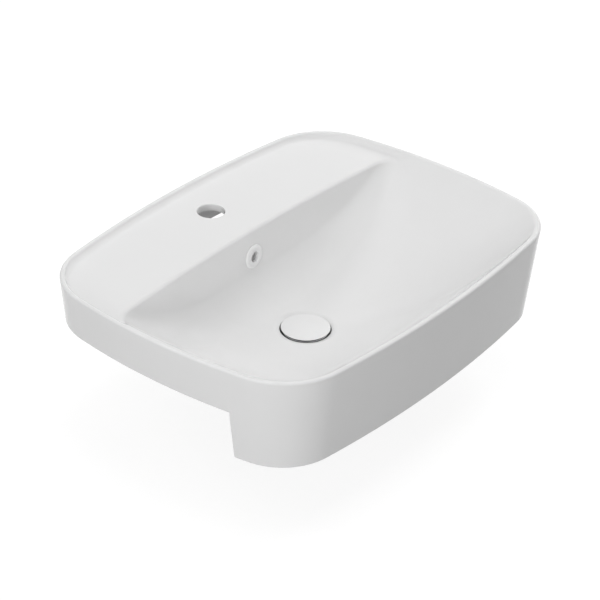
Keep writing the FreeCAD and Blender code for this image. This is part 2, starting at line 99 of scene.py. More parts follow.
# the bowl's dish, its back wall with the overflow's hole, and the drain
RIM_W = 6.8 * mm
DISH_DEPTH = 115.5 * mm
DISH_POWER = 2.5
BACK_TAN = math.tan(math.radians(3.0))
FILLET_TOP = 16.0 * mm
FILLET_LOW = 38.0 * mm
FILLET_GROW = 70.0 * mm
OVERFLOW_DROP = 46.0 * mm
OVERFLOW_R = 11.5 * mm
DRAIN_Y = -4.0 * mm
DRAIN_SEAT_Z = RIM_Z - 121.5 * mm
DRAIN_BORE_R = 22.75 * mm
SEAT_R = 34.9 * mm
# what lies underneath: the walls, the bulkhead behind the apron, the ceiling and the drain's boss
WALL = 11.0 * mm
BOWL_WALL = 10.0 * mm
BULKHEAD_T = 9.0 * mm
CEILING_Z = RIM_Z - 36.0 * mm
BOSS_R = 41.0 * mm
BOSS_Z = RIM_Z - 154.0 * mm
# the mesh: its columns round the outline, and the point above the drain from which its rays go out
COLUMNS = 640
MID = COLUMNS // 4
VIEW_POINT_Z = RIM_Z + 120.0 * mm


def corner_centre():
    """Centre of the corner arc: it lies FRONT_R - CORNER_R from the front arc's centre and SIDE_R - CORNER_R
    from the side arc's centre, so it is where those two circles cross in the first quarter."""
    r1, r2 = FRONT_R - CORNER_R, SIDE_R - CORNER_R
    dd = math.hypot(SIDE_CX, FRONT_CY)
    a = (r1 * r1 - r2 * r2 + dd * dd) / (2 * dd)
    h = math.sqrt(r1 * r1 - a * a)
    ux, uy = SIDE_CX / dd, -FRONT_CY / dd
    mx, my = a * ux, FRONT_CY + a * uy
    return max((mx - h * uy, my + h * ux), (mx + h * uy, my - h * ux), key=sum)


CORNER_X, CORNER_Y = corner_centre()
SIDE_ANG = math.atan2(CORNER_Y, CORNER_X - SIDE_CX)
FRONT_ANG = math.atan2(CORNER_X, CORNER_Y - FRONT_CY)


def rim_point(phi, inset):
    """Point of the rim's outline, moved inwards by inset, where its normal points along phi. The outline is
    eight tangent arcs, so the point is the arc's centre plus (radius - inset) along the normal."""
    c, s = np.abs(np.cos(phi)), np.abs(np.sin(phi))
    a = np.arctan2(s, c)
    side, front = a < SIDE_ANG, a > math.pi / 2 - FRONT_ANG
    cx = np.where(side, SIDE_CX, np.where(front, 0.0, CORNER_X))
    cy = np.where(side, 0.0, np.where(front, FRONT_CY, CORNER_Y))
    r = np.where(side, SIDE_R, np.where(front, FRONT_R, CORNER_R)) - inset
    return np.sign(np.cos(phi)) * (cx + r * c), np.sign(np.sin(phi)) * (cy + r * s)


def rim_inset(x, y):
    """How far a point lies inside the rim's outline: the arc's radius less the distance from its centre."""
    x, y = np.abs(x), np.abs(y)
    front = np.arctan2(x, y - FRONT_CY) < FRONT_ANG
    side = np.arctan2(y, x - SIDE_CX) < SIDE_ANG
    corner = CORNER_R - np.hypot(x - CORNER_X, y - CORNER_Y)
    return np.where(front, FRONT_R - np.hypot(x, y - FRONT_CY),
                    np.where(side, SIDE_R - np.hypot(x - SIDE_CX, y), corner))


def bisect(inside, low, high, steps=46):
    """Largest value between low and high for which inside(value) holds, by halving the interval."""
    low, high = np.array(low, float), np.array(high, float)
    for _ in range(steps):
        mid = (low + high) / 2
        yes = inside(mid)
        low, high = np.where(yes, mid, low), np.where(yes, high, mid)
    return low


def rim_reach(theta, inset):
    """Distance from the drain, along theta, to the outline moved inwards by inset."""
    c, s = np.cos(theta), np.sin(theta)
    return bisect(lambda r: rim_inset(r * c, DRAIN_Y + r * s) > inset, 0 * theta, 0 * theta + 2 * HALF_W)


def add_round(a, b, r):
    """Union of two solids, negative inside, with a fillet of radius r in the corner between them."""
    return np.maximum(r, np.minimum(a, b)) - np.hypot(np.maximum(r - a, 0), np.maximum(r - b, 0))


def keep_round(a, b, r):
    """What two solids share, negative inside, with its edge rounded to radius r."""
    return np.minimum(-r, np.maximum(a, b)) + np.hypot(np.maximum(r + a, 0), np.maximum(r + b, 0))


def bowl_gap(x, y, z, reach):
    """Distance above the bowl. The dish's height is -DISH_DEPTH (1 - (r / reach) ** DISH_POWER), the back
    wall is a bowed plane with draft, and the fillet between them grows with depth, from FILLET_TOP to
    FILLET_LOW."""
    depth = RIM_Z - z
    r = np.hypot(x, y - DRAIN_Y)
    rho = r / reach
    height = -DISH_DEPTH * (1 - rho ** DISH_POWER)
    slope = DISH_DEPTH * DISH_POWER * rho ** (DISH_POWER - 1) / reach
    dish = (-depth - height) / np.sqrt(1 + slope ** 2)
    below = depth - (RIM_Z - DECK_Z)
    bow = DECK_BOW_R - np.sqrt(DECK_BOW_R ** 2 - x ** 2)
    wall = DECK_EDGE_Y - bow - BACK_TAN * np.maximum(below, 0) - y
    t = np.clip(below / FILLET_GROW, 0, 1)
    fillet = FILLET_TOP + (FILLET_LOW - FILLET_TOP) * t * t * (3 - 2 * t)
    return add_round(dish, wall, fillet)


def deck_gap(x, y, z):
    """Distance above the deck and inside its lip. The deck is level, and in front of LIP_END_Y it rises until
    the lip has run out. The lip's wall leans by LIP_ANGLE and stands in a cove of radius COVE_R."""
    ahead = LIP_END_Y - y
    ease = np.clip(ahead, 0, LIP_END_EASE)
    rise = LIP_END_SLOPE * (ease ** 2 / (2 * LIP_END_EASE) + np.maximum(ahead - LIP_END_EASE, 0))
    lip = (rim_inset(x, y) - LIP_W - math.tan(LIP_ANGLE) * (RIM_Z - z)) * math.cos(LIP_ANGLE)
    return add_round(z - DECK_Z - rise, lip, COVE_R)


def glaze_gap(x, y, z, reach):
    """Distance above the glazed top of the basin: bowl, deck and crest cut each other with rounded edges."""
    both = keep_round(bowl_gap(x, y, z, reach), deck_gap(x, y, z), DECK_EDGE_R)
    return keep_round(both, z - RIM_Z, CREST_ROUND)


def onto_glaze(theta, psi, reach, gap=glaze_gap, top=0.02, far=0.75):
    """Where a ray from the point above the drain meets the glaze. theta is its direction in plan, and psi its
    angle from straight down."""
    c, s = np.cos(theta), np.sin(theta)

    def at(t):
        """Point at the distance t along the ray."""
        r = t * np.sin(psi)
        return r * c, DRAIN_Y + r * s, VIEW_POINT_Z - t * np.cos(psi)

    t = bisect(lambda t: gap(*at(t), reach) > 0, 0 * psi + top, 0 * psi + far)
    return np.stack(at(t), axis=-1)


def sight(r, z):
    """Angle from straight down at which the point above the drain sees (r, z)."""
    return np.arctan2(r, VIEW_POINT_Z - z)


def rows_between(a, b, count):
    """count rows from a up to, and without, b. a and b hold one value for each column."""
    t = np.arange(count) / count
    return a[None, :] + (b - a)[None, :] * t[:, None]


class Skin:
    """Collects patches of points and the quads between them, and joins points that coincide."""

    def __init__(self):
        self.points, self.faces, self.count = [], [], 0

    def grid(self, p, closed=False, keep=None, flip=False):
        """Adds a patch of points p[row, column]. Its normal is the row direction times the column direction.
        closed joins the last column to the first, and keep says which quads stay."""
        rows, cols = p.shape[:2]
        index = self.count + np.arange(rows * cols).reshape(rows, cols)
        nxt = np.roll(index, -1, axis=1) if closed else index[:, 1:]
        cur = index if closed else index[:, :-1]
        quads = np.stack([cur[:-1], cur[1:], nxt[1:], nxt[:-1]], axis=-1)
        quads = (quads if keep is None else quads[keep]).reshape(-1, 4)
        self.faces.append(quads[:, ::-1] if flip else quads)
        self.points.append(p.reshape(-1, 3))
        self.count += rows * cols

    def band(self, a, b, centre):
        """Joins two level rings of points that run the same way round a centre, but have different numbers
        of points: triangles go round, and the next one takes the point that comes first by its angle."""
        def turns(ring):
            """Angles of a ring's points about the centre, without a jump."""
            return np.unwrap(np.arctan2(ring[:, 1] - centre[1], ring[:, 0] - centre[0]))

        away = np.angle(np.exp(1j * (turns(b) - turns(a)[0])))
        b = np.roll(b, -int(np.argmin(np.abs(away))), axis=0)
        way = np.sign(turns(a)[-1] - turns(a)[0])
        turn_a, turn_b = turns(a) * way, turns(b) * way
        turn_b += 2 * math.pi * np.round((turn_a[0] - turn_b[0]) / (2 * math.pi))
        n, m = len(a), len(b)
        ends = [np.append(turn[1:], turn[0] + 2 * math.pi) for turn in (turn_a, turn_b)]
        from_a = np.argsort(np.concatenate(ends), kind="stable") < n
        i, j = np.cumsum(from_a) - from_a, np.cumsum(~from_a) - ~from_a
        quads = np.stack([i % n, n + j % m, n + (j + ~from_a) % m, (i + from_a) % n], axis=-1)
        self.faces.append(self.count + quads)
        self.points.append(np.concatenate([a, b]))
        self.count += n + m

    def mesh(self, name, shift=(0, 0, 0)):
        """Makes the object. Points closer than a hundredth of a millimetre become one."""
        p = np.concatenate(self.points)
        key = np.round(p / (0.01 * mm)).astype(np.int64)
        _, first, where = np.unique(key, axis=0, return_index=True, return_inverse=True)
        p = p[first] + np.array(shift)
        q = where.reshape(-1)[np.concatenate(self.faces)]
        q = q[(q[:, 0] != q[:, 2]) & (q[:, 1] != q[:, 3])]
        made = bpy.data.meshes.new(name)
        polys = [tuple(dict.fromkeys(f)) for f in q.tolist()]
        made.from_pydata(p.tolist(), [], [f for f in polys if len(f) > 2])
        made.polygons.foreach_set("use_smooth", np.ones(len(made.polygons), bool))
        made.validate()
        made.update()
        obj = bpy.data.objects.new(name, made)
        bpy.context.scene.collection.objects.link(obj)
        return obj


def rim_angles(count):
    """Normal angles at equal steps along the outline. Half of a quarter turn is an arc's radius times its
    angle, so the angles follow from the lengths added up."""
    turn = math.pi / 2
    parts = [(SIDE_R, SIDE_ANG), (CORNER_R, turn - SIDE_ANG - FRONT_ANG), (FRONT_R, FRONT_ANG)]
    quarter = parts + parts[::-1]
    lengths = np.cumsum([0] + [(r - CREST_MID) * a for r, a in quarter * 2])
    angles = np.cumsum([0] + [a for _, a in quarter * 2])
    s = np.arange(count) / count * lengths[-1]
    return np.interp(s, lengths, angles)


def wall_inset(z):
    """The outer wall tapers inwards below the rim by DRAFT for each unit of height."""
    return (RIM_Z - z) * DRAFT


def step_y(z):
    """Face of the step behind the apron, which leans forward below the counter's level."""
    return STEP_Y + STEP_TAN * np.minimum(z, 0)


def step_phi(z):
    """Normal angle at which the apron's wall, at height z, turns through an arc of radius BOTTOM_ROUND into
    the step's face: there the arc's centre lies BOTTOM_ROUND in front of that face."""
    def before(a):
        """Whether the arc at the normal angle a still ends in front of the step's face."""
        return rim_point(a, wall_inset(z) + BOTTOM_ROUND)[1] + CENTRE_Y + BOTTOM_ROUND < step_y(z)

    return bisect(before, 0 * z - math.pi / 2, 0 * z)


phi = rim_angles(COLUMNS)
step_ends = [step_phi(0.0) % (2 * math.pi), (math.pi - step_phi(0.0)) % (2 * math.pi)]
step_right, step_left = [np.argmin(np.abs(phi - a)) for a in step_ends]
phi[[step_right, step_left]] = step_ends
crest_x, crest_y = rim_point(phi, CREST_MID)
theta = np.arctan2(crest_y - DRAIN_Y, crest_x)
reach = rim_reach(theta, RIM_W)
ct, st = np.cos(theta), np.sin(theta)

FARTHEST = 400.0 * mm


def bowl_r(z, gap):
    """Distance from the drain at which the bowl's surface lies gap away, at height z."""
    def within(r):
        """Whether the point at the distance r lies more than gap above the bowl."""
        return bowl_gap(r * ct, DRAIN_Y + r * st, z, reach) > gap

    return bisect(within, 0 * theta, 0 * theta + FARTHEST)


# rows of the top skin, from the drain's recess over the bowl, the deck's edge and the lip to the crest. Each
# stop is the angle at which a stretch of rows begins, and how many rows the stretch has. The last stops are
# given by their inset and height. The deck begins EDGE_BACK behind the back wall, short of the lip's cove
RECESS_EDGE_R = 40.0 * mm
RECESS_EDGE_Z = RIM_Z - DISH_DEPTH + 1.2 * mm
EDGE_LOW_Z = DECK_Z - 5.2 * mm
EDGE_BACK = 4.9 * mm
COVE_FOOT = LIP_W + math.tan(LIP_ANGLE) * (RIM_Z - DECK_Z - COVE_R) + COVE_R + 0.3 * mm
foot_r = rim_reach(theta, COVE_FOOT)
edge_r = np.minimum(bowl_r(DECK_Z, -EDGE_BACK), foot_r - 1.2 * mm)
stops = [(0 * theta + sight(RECESS_EDGE_R, RECESS_EDGE_Z), 52),
         (sight(bowl_r(EDGE_LOW_Z, 0.0), EDGE_LOW_Z), 9),
         (sight(edge_r, DECK_Z), 1), (sight(foot_r, DECK_Z), 7)]
for inset, z, count in ((LIP_W + 1.4 * mm, DECK_Z + 1.6 * mm, 5), (LIP_W + 0.3 * mm, RIM_Z - 2.4 * mm, 8),
                        (CREST_MID + 0.5 * mm, RIM_Z, 1), (CREST_MID, RIM_Z, 0)):
    stops.append((sight(rim_reach(theta, inset), z), count))
psi_rows = np.concatenate([rows_between(a, b, count) for (a, count), (b, _) in zip(stops, stops[1:])])
EDGE_ROW = stops[0][1] + stops[1][1]
all_theta, all_reach = np.broadcast_to(theta, psi_rows.shape), np.broadcast_to(reach, psi_rows.shape)
top = onto_glaze(all_theta, psi_rows, all_reach)
crest = np.stack([crest_x, crest_y, 0 * phi + RIM_Z], axis=-1)
top = np.concatenate([top, crest[None]])

skin = Skin()

# the deck: a fan of rows round the tap hole, out to the lip's foot and to the bowl's edge
edge, foot = top[EDGE_ROW], top[EDGE_ROW + 1]
seen = np.arctan2(edge[:, 1] - TAP_Y, edge[:, 0])
deck_right = int(np.argmax(seen[:MID]))
deck_left = 2 * MID - deck_right
rear = np.arange(deck_right, deck_left + 1)
loop = np.concatenate([foot[rear], edge[rear[::-1]]])
angle = np.arctan2(loop[:, 1] - TAP_Y, loop[:, 0])
TAP_ROUND = 0.9 * mm
TAP_EASE = 0.8 * mm
DECK_LOW_Z = DECK_Z - DECK_T
FAN_POWER = 0.8


def round_tap(r, z):
    """Circle of radius r about the tap hole, with one point in the direction of each point of a loop, where
    angle holds those directions."""
    return np.stack([r * np.cos(angle), TAP_Y + r * np.sin(angle), 0 * angle + z], axis=-1)


hole = [round_tap(TAP_R + TAP_EASE, DECK_LOW_Z), round_tap(TAP_R, DECK_LOW_Z + TAP_EASE)]
for a in np.radians(np.linspace(90, 0, 6)):
    hole.append(round_tap(TAP_R + TAP_ROUND * (1 - math.sin(a)), DECK_Z - TAP_ROUND * (1 - math.cos(a))))
hole += [hole[-1] * (1 - t) + loop * t for t in np.linspace(0, 1, 9)[1:] ** FAN_POWER]
skin.grid(np.array(hole), closed=True)

# the overflow's hole: a fan of rows from its edge out to a window in the back wall, which reaches
# PATCH_HALF from the hole's middle
PATCH_HALF = 17.0 * mm
overflow_z = RIM_Z - OVERFLOW_DROP
overflow_y = DECK_EDGE_Y - BACK_TAN * (OVERFLOW_DROP - (RIM_Z - DECK_Z))
near = np.abs(top[:, MID, 2] - overflow_z) < PATCH_HALF
near[EDGE_ROW:] = False
row_low, row_high = np.nonzero(near)[0][[0, -1]]
side = int(np.sum(np.abs(top[row_low, MID:2 * MID, 0]) < PATCH_HALF))
col_right, col_left = MID - side, MID + side
across = np.arange(col_right, col_left + 1)
upward = np.arange(row_low, row_high + 1)
window_rows = np.concatenate([0 * across[1:] + row_low, upward[:-1],
                              0 * across[:-1] + row_high, upward[:0:-1]])
window_cols = np.concatenate([across[:0:-1], 0 * upward[:-1] + col_right,
                              across[:-1], 0 * upward[1:] + col_left])
frame_loop = top[window_rows, window_cols]
round_it = np.arctan2(frame_loop[:, 2] - overflow_z, frame_loop[:, 0])
rim_hole = np.stack([OVERFLOW_R * np.cos(round_it),
                     overflow_y - DRAIN_Y + BACK_TAN * OVERFLOW_R * np.sin(round_it),
                     overflow_z + OVERFLOW_R * np.sin(round_it)], axis=-1)


def polar(p):
    """Direction in plan and angle from straight down of points, measured from the drain's axis."""
    return np.arctan2(p[:, 1], p[:, 0]), sight(np.hypot(p[:, 0], p[:, 1]), p[:, 2])


hole_theta, hole_psi = polar(rim_hole)
loop_theta, loop_psi = polar(frame_loop - np.array([0, DRAIN_Y, 0]))
share = np.linspace(0, 1, 6)[:, None]
fan_theta = hole_theta + (loop_theta - hole_theta) * share
fan_psi = hole_psi + (loop_psi - hole_psi) * share
fan = onto_glaze(fan_theta, fan_psi, rim_reach(fan_theta, RIM_W))
# behind the hole the overflow's channel turns down: each station gives how far it lies inwards and below
# the hole, its turn from level, and the half width and half height of its oval section
stations = np.array([(17, -45, 90, 0, 0), (17, -45, 90, 13, 6.5), (17, -24, 90, 13, 6.5),
                     (16.2, -12, 70, 13, 7), (13.5, -5, 45, 12.5, 8.5), (11, -1.5, 20, 12, 10.5),
                     (9, 0, 0, 11.5, 11.5)])
deep, down, bend, half_x, half_s = (stations * [mm, mm, math.pi / 180, mm, mm]).T[:, :, None]
across, along = half_x * np.cos(round_it), half_s * np.sin(round_it)
channel = np.stack([across, overflow_y + deep + along * np.sin(bend),
                    overflow_z + down + along * np.cos(bend)], axis=-1)
behind_edge = fan[:1] + np.array([0, 0.5 * mm, 0])
skin.grid(np.concatenate([channel, behind_edge, fan]), closed=True)

# the top skin itself, without the deck's strip and the overflow's window
keep = np.ones((len(top) - 1, COLUMNS), bool)
keep[EDGE_ROW, deck_right:deck_left] = False
keep[row_low:row_high, col_right:col_left] = False
skin.grid(top, closed=True, keep=keep)


def about_drain(r, z):
    """Rings of points at the distance r from the drain, in each column's direction, at height z."""
    return np.stack(np.broadcast_arrays(r * ct, DRAIN_Y + r * st, z), axis=-1)


def turned_grid(profile, count=96):
    """Surface of revolution about the vertical axis: p[row, column] is the row's (r, z) at the column's
    angle."""
    around = np.linspace(0, 2 * math.pi, count, endpoint=False)[None, :]
    r, z = profile[:, :1], profile[:, 1:]
    return np.stack([r * np.cos(around), r * np.sin(around), z + 0 * around], axis=-1)


def round_loop(profile):
    """Closed profile: its first point follows its last."""
    return np.concatenate([profile, profile[:1]])


# the drain's recess: a short wall with a soft edge, and a shallow ring round it. The ring's height is a cubic
# in the distance, and it leaves the dish with the dish's own slope
RECESS_R = 32.2 * mm
RING_IN_R = 32.5 * mm
RING_SLOPE = 0.35
RING_LOW_Z = RIM_Z - DISH_DEPTH - 0.9 * mm
ring_r, next_r = np.hypot(top[:2, :, 0], top[:2, :, 1] - DRAIN_Y)
ring_z = top[0, :, 2]
wide = ring_r - RING_IN_R
dish_slope = (top[1, :, 2] - ring_z) / (next_r - ring_r)
t = np.linspace(0, 1, 10)[:, None]
climb = (RING_LOW_Z + (ring_z - RING_LOW_Z) * t * t * (3 - 2 * t) + RING_SLOPE * wide * t * (1 - t) ** 2
         - dish_slope * wide * t * t * (1 - t))
wall_r = np.array([RECESS_R, RECESS_R, RECESS_R + 0.07 * mm])[:, None]
wall_z = np.array([DRAIN_SEAT_Z - 0.2 * mm, RING_LOW_Z - 0.3 * mm, RING_LOW_Z - 0.08 * mm])[:, None]
ring_rows = about_drain(RING_IN_R + wide * t[:-1], climb[:-1])
recess = np.concatenate([about_drain(wall_r, wall_z), ring_rows, top[:1]])
skin.grid(recess, closed=True)
# the seat, the bore and the boss below it
boss = [(BOSS_R, RIM_Z - DISH_DEPTH - 6 * mm), (BOSS_R, BOSS_Z + 1.5 * mm),
        (BOSS_R - 0.5 * mm, BOSS_Z + 0.4 * mm), (BOSS_R - 1.5 * mm, BOSS_Z), (DRAIN_BORE_R + 1 * mm, BOSS_Z),
        (DRAIN_BORE_R, BOSS_Z + 1 * mm), (DRAIN_BORE_R, DRAIN_SEAT_Z - 1 * mm),
        (DRAIN_BORE_R + 1 * mm, DRAIN_SEAT_Z), (SEAT_R, DRAIN_SEAT_Z)]
skin.grid(turned_grid(round_loop(np.array(boss))) + np.array([0, DRAIN_Y, 0]), closed=True)


def on_wall(a, inset, z):
    """Points of the outline moved inwards by inset, at height z."""
    x, y = rim_point(a, inset)
    return np.stack(np.broadcast_arrays(x, y, z), axis=-1)


# the outside, from the crest over its rounded edge and down the wall to just above the counter
ABOVE_SEAT = 3.0 * mm
lean = math.atan(DRAFT)
crest_q = RIM_ROUND * math.tan((math.pi / 2 + lean) / 2)
rows = [on_wall(phi, CREST_MID, RIM_Z)]
for a in np.linspace(0, math.pi / 2 + lean, 9):
    rows.append(on_wall(phi, crest_q - RIM_ROUND * math.sin(a), RIM_Z - RIM_ROUND * (1 - math.cos(a))))
for z in np.linspace(RIM_Z - RIM_ROUND, ABOVE_SEAT, 4)[1:]:
    rows.append(on_wall(phi, wall_inset(z), z))
skin.grid(np.array(rows), closed=True)


def rounded_foot(z):
    """Inset and height of the rounded bottom edge that ends at height z."""
    c = BOTTOM_ROUND
    q = wall_inset(z + c) + c / math.cos(lean)
    return [(q - c * math.cos(b), z + c - c * math.sin(b)) for b in np.linspace(lean, math.pi / 2, 6)]


# the skirt behind the apron: its wall, bottom edge and inner face up to the ceiling
back = np.arange(step_right - COLUMNS, step_left + 1)
phi_b = phi[back]
FOOT_EASE = 1.0 * mm
inner = wall_inset(0.0) + WALL
rows = [on_wall(phi_b, wall_inset(ABOVE_SEAT), ABOVE_SEAT)]
rows += [on_wall(phi_b, q, z) for q, z in rounded_foot(0.0)]
rows += [on_wall(phi_b, inner - FOOT_EASE, 0.0), on_wall(phi_b, inner, FOOT_EASE)]
rows += [on_wall(phi_b, wall_inset(z) + WALL, z) for z in np.linspace(FOOT_EASE, CEILING_Z, 3)[1:]]
skirt = np.array(rows)
skin.grid(skirt)

# the ceiling inside the skirt, from its inner face to the bowl's underside. Behind the line DECK_BACK_Y the
# skirt's inner face goes on up into the room under the deck, and a triangle closes each end of that line. The
# smallest sine only keeps the division safe where the line isn't used
SMALLEST_SINE = 0.05
DECK_BACK_Y = DECK_EDGE_Y + BOWL_WALL + 6 * mm
hidden_r = bowl_r(CEILING_Z, -BOWL_WALL)
hidden = about_drain(hidden_r, CEILING_Z)
wall_top = on_wall(phi_b, wall_inset(CEILING_Z) + WALL, CEILING_Z)
line_r = (DECK_BACK_Y - DRAIN_Y) / np.maximum(st[back], SMALLEST_SINE)
on_line = np.stack(np.broadcast_arrays(line_r * ct[back], DECK_BACK_Y, CEILING_Z), axis=-1)
behind = wall_top[:, 1] > DECK_BACK_Y
skin.grid(np.array([np.where(behind[:, None], on_line, wall_top), hidden[back]]))
b0, b1 = np.nonzero(behind)[0][[0, -1]]
skin.grid(np.array([wall_top[b0 - 1:b0 + 1], [wall_top[b0 - 1], on_line[b0]]]))
skin.grid(np.array([wall_top[b1:b1 + 2], [on_line[b1], wall_top[b1 + 1]]]))

# the room under the deck, closed above by the deck's underside round the tap hole
room = []
for z in np.linspace(CEILING_Z, DECK_LOW_Z, 3):
    wall = on_wall(phi_b[b0:b1 + 1], wall_inset(z) + WALL, z)
    face = on_line[b0:b1 + 1][::-1] + np.array([0, 0, z - CEILING_Z])
    room.append(np.concatenate([wall, face]))
under = room[-1]
angle = np.arctan2(under[:, 1] - TAP_Y, under[:, 0])
under_hole = round_tap(TAP_R + 3 * mm, DECK_LOW_Z)
skin.grid(np.array(room + [under + (under_hole - under) * 0.6, under_hole]), closed=True)
skin.band(under_hole, hole[0], (0, TAP_Y))

# the apron: its wall, the step's face, the bottom edge and the hollow in front of the bulkhead
front = np.arange(step_left, step_right + 1)
phi_f = phi[front]
n_wall = len(phi_f)
ARC = 6
FACE = 24
n_loop = n_wall + 2 * ARC + FACE
UNDER_DISH = 7.0 * mm


def dish_z(x, y):
    """Height of the dish below the rim at a point in plan."""
    r, a = np.hypot(x, y - DRAIN_Y), np.arctan2(y - DRAIN_Y, x)
    return RIM_Z - DISH_DEPTH * (1 - np.minimum(r / rim_reach(a, RIM_W), 1) ** DISH_POWER)


def apron_loop(z, inset):
    """Closed section of the apron at height z (one value for each column), moved inwards by inset: the wall
    from left to right, an arc, the step's face back to the left, and an arc. The step leans, so the wall's
    columns shift along with it, fully at the wall's ends and not in its middle."""
    zw, zr, zs, zl = np.split(z, [n_wall, n_wall + ARC, n_wall + ARC + FACE])
    end = step_phi(np.minimum(zw, 0))
    start = step_phi(0.0 * zw)
    away = (1 - np.abs(np.sin(phi_f))) / (1 - np.abs(np.sin(phi_f[0])))
    shift = (end - start) * np.clip(away, 0, 1) ** 2 * np.sign(np.cos(phi_f))
    wall = on_wall(phi_f + shift, wall_inset(zw) + inset, zw)

    def turn(zz, side, part):
        """Arc where the wall rounds into the step, from the wall's normal angle to a quarter turn."""
        a = step_phi(np.minimum(zz, 0))
        cx, cy = rim_point(a, wall_inset(zz) + BOTTOM_ROUND)
        b = a + (math.pi / 2 - a) * part
        r = BOTTOM_ROUND - inset
        return np.stack([side * (cx + r * np.cos(b)), cy + r * np.sin(b), zz], axis=-1)

    arc = np.linspace(0, 1, ARC + 1)[1:]
    right, left = turn(zr, 1, arc), turn(zl, -1, arc[::-1])
    face_end = rim_point(step_phi(np.minimum(zs, 0)), wall_inset(zs) + BOTTOM_ROUND)[0]
    x = face_end * np.linspace(1, -1, FACE)
    face = np.stack([x, step_y(zs) - CENTRE_Y - inset, zs], axis=-1)
    return np.concatenate([wall, right, face, left])


trial = apron_loop(np.zeros(n_loop), 0.0)
face_part = slice(n_wall + ARC, n_wall + ARC + FACE)
top_z = np.full(n_loop, ABOVE_SEAT)
top_z[face_part] = np.minimum(dish_z(*trial[face_part, :2].T) - UNDER_DISH, CEILING_Z - 1 * mm)
low_z = APRON_Z + BOTTOM_ROUND
rows = [apron_loop(top_z + (low_z - top_z) * t, 0.0) for t in np.linspace(0, 1, 6)]
for q, z in rounded_foot(APRON_Z):
    rows.append(apron_loop(np.full(n_loop, z), q - wall_inset(z)))


def hollow_loop(z):
    """Section of the apron's hollow at height z: the wall's inner face and the bulkhead's front face. They
    meet where the inner face, WALL inside the outline, crosses the plane BULKHEAD_T in front of the step."""
    y_face = step_y(z) - CENTRE_Y - BULKHEAD_T
    meet = bisect(lambda a: rim_point(a, wall_inset(z) + WALL)[1] < y_face, 0 * z - math.pi / 2, 0 * z)
    around = np.clip(phi_f, math.pi - meet[:n_wall], 2 * math.pi + meet[:n_wall])
    wall = on_wall(around, wall_inset(z[:n_wall]) + WALL, z[:n_wall])
    share = np.concatenate([np.ones(ARC), np.linspace(1, -1, FACE), -np.ones(ARC)])
    x = rim_point(meet[n_wall:], wall_inset(z[n_wall:]) + WALL)[0] * share
    return np.concatenate([wall, np.stack([x, y_face[n_wall:], z[n_wall:]], axis=-1)])


trial = hollow_loop(np.zeros(n_loop))
roof = np.full(n_loop, CEILING_Z)
roof[n_wall:] = np.minimum(dish_z(*trial[n_wall:, :2].T) - UNDER_DISH, CEILING_Z)
rows += [hollow_loop(APRON_Z + (roof - APRON_Z) * t) for t in np.linspace(0, 1, 6)]
last = rows[-1]
skin.grid(np.array(rows), closed=True)
skin.grid(np.array([last[:n_wall], hidden[front]]))


def pole(ring):
    """Row with all of a ring's points at the ring's middle, which closes a surface that ends in the ring."""
    return 0 * ring[None] + ring.mean(axis=0)


# inside the china the bulkhead's top and the skirt's two cut ends are closed
skin.grid(np.array([last, rows[0]])[:, np.r_[n_wall - 1:n_loop, 0]])
for column, inner, flip in ((skirt[:, 0], [hidden[step_right], last[n_wall - 1]], True),
                            (skirt[:, -1], [hidden[step_left], last[0]], False)):
    cut_end = np.concatenate([column, inner])
    skin.grid(np.concatenate([pole(cut_end), cut_end[None]]), closed=True, flip=flip)

# the bowl's underside, which runs BOWL_WALL below its glaze from the drain's boss to the hollow's ceiling
at_boss = sight(0 * theta + BOSS_R - 2 * mm, RIM_Z - DISH_DEPTH - BOWL_WALL)
psi_under = rows_between(at_boss, sight(hidden_r, CEILING_Z), 10)
all_theta, all_reach = np.broadcast_to(theta, psi_under.shape), np.broadcast_to(reach, psi_under.shape)
below = onto_glaze(all_theta, psi_under, all_reach, gap=lambda *place: bowl_gap(*place) + BOWL_WALL)
skin.grid(np.concatenate([recess[:1], below, hidden[None]]), closed=True, flip=True)

# the overflow's duct, cast on the back of the bowl from the overflow down to the boss. Its path follows the
# back wall and bends through a quarter turn, and its section is a box with rounded corners that reaches from
# inside the bowl's wall to DUCT_OUT behind its glaze
DUCT_HALF = 23.0 * mm
DUCT_OUT = BOWL_WALL + 22.0 * mm
DUCT_ROUND = 7.0 * mm
DUCT_TOP = overflow_z + OVERFLOW_R + 12 * mm
DUCT_END_Y = DRAIN_Y + 20 * mm
DUCT_SUNK = 4.0 * mm
bend_y = DECK_EDGE_Y - BACK_TAN * (DISH_DEPTH - FILLET_LOW) - FILLET_LOW
bend_z = RIM_Z - DISH_DEPTH + FILLET_LOW
start_y = bend_y + BACK_TAN * (DUCT_TOP - bend_z)
bend = np.linspace(0, math.pi / 2, 15)
path_y = np.concatenate([[start_y], 0 * bend + bend_y, [DUCT_END_Y]])
path_z = np.concatenate([[DUCT_TOP], 0 * bend + bend_z, [bend_z]])
out_y = np.concatenate([[1.0], np.cos(bend), [0.0]])
out_z = np.concatenate([[0.0], -np.sin(bend), [-1.0]])
side_turn = np.linspace(0, math.pi / 2, 6)
half_x = np.concatenate([[DUCT_HALF], DUCT_HALF - DUCT_ROUND * (1 - np.cos(side_turn))])
half_o = np.concatenate([[BOWL_WALL - DUCT_SUNK], DUCT_OUT - DUCT_ROUND * (1 - np.sin(side_turn))])
across_x = np.concatenate([half_x, -half_x[::-1]])
reach_o = FILLET_LOW + np.concatenate([half_o, half_o[::-1]])[None, :]
duct = np.stack(np.broadcast_arrays(across_x[None, :], path_y[:, None] + out_y[:, None] * reach_o,
                                    path_z[:, None] + out_z[:, None] * reach_o), axis=-1)
lid = duct[0].copy()
lid[:, 1] = np.minimum(lid[:, 1], start_y + FILLET_LOW + 6 * mm)
lid[:, 2] += 3 * mm
skin.grid(np.concatenate([pole(lid), lid[None], duct, pole(duct[-1])]), closed=True, flip=True)

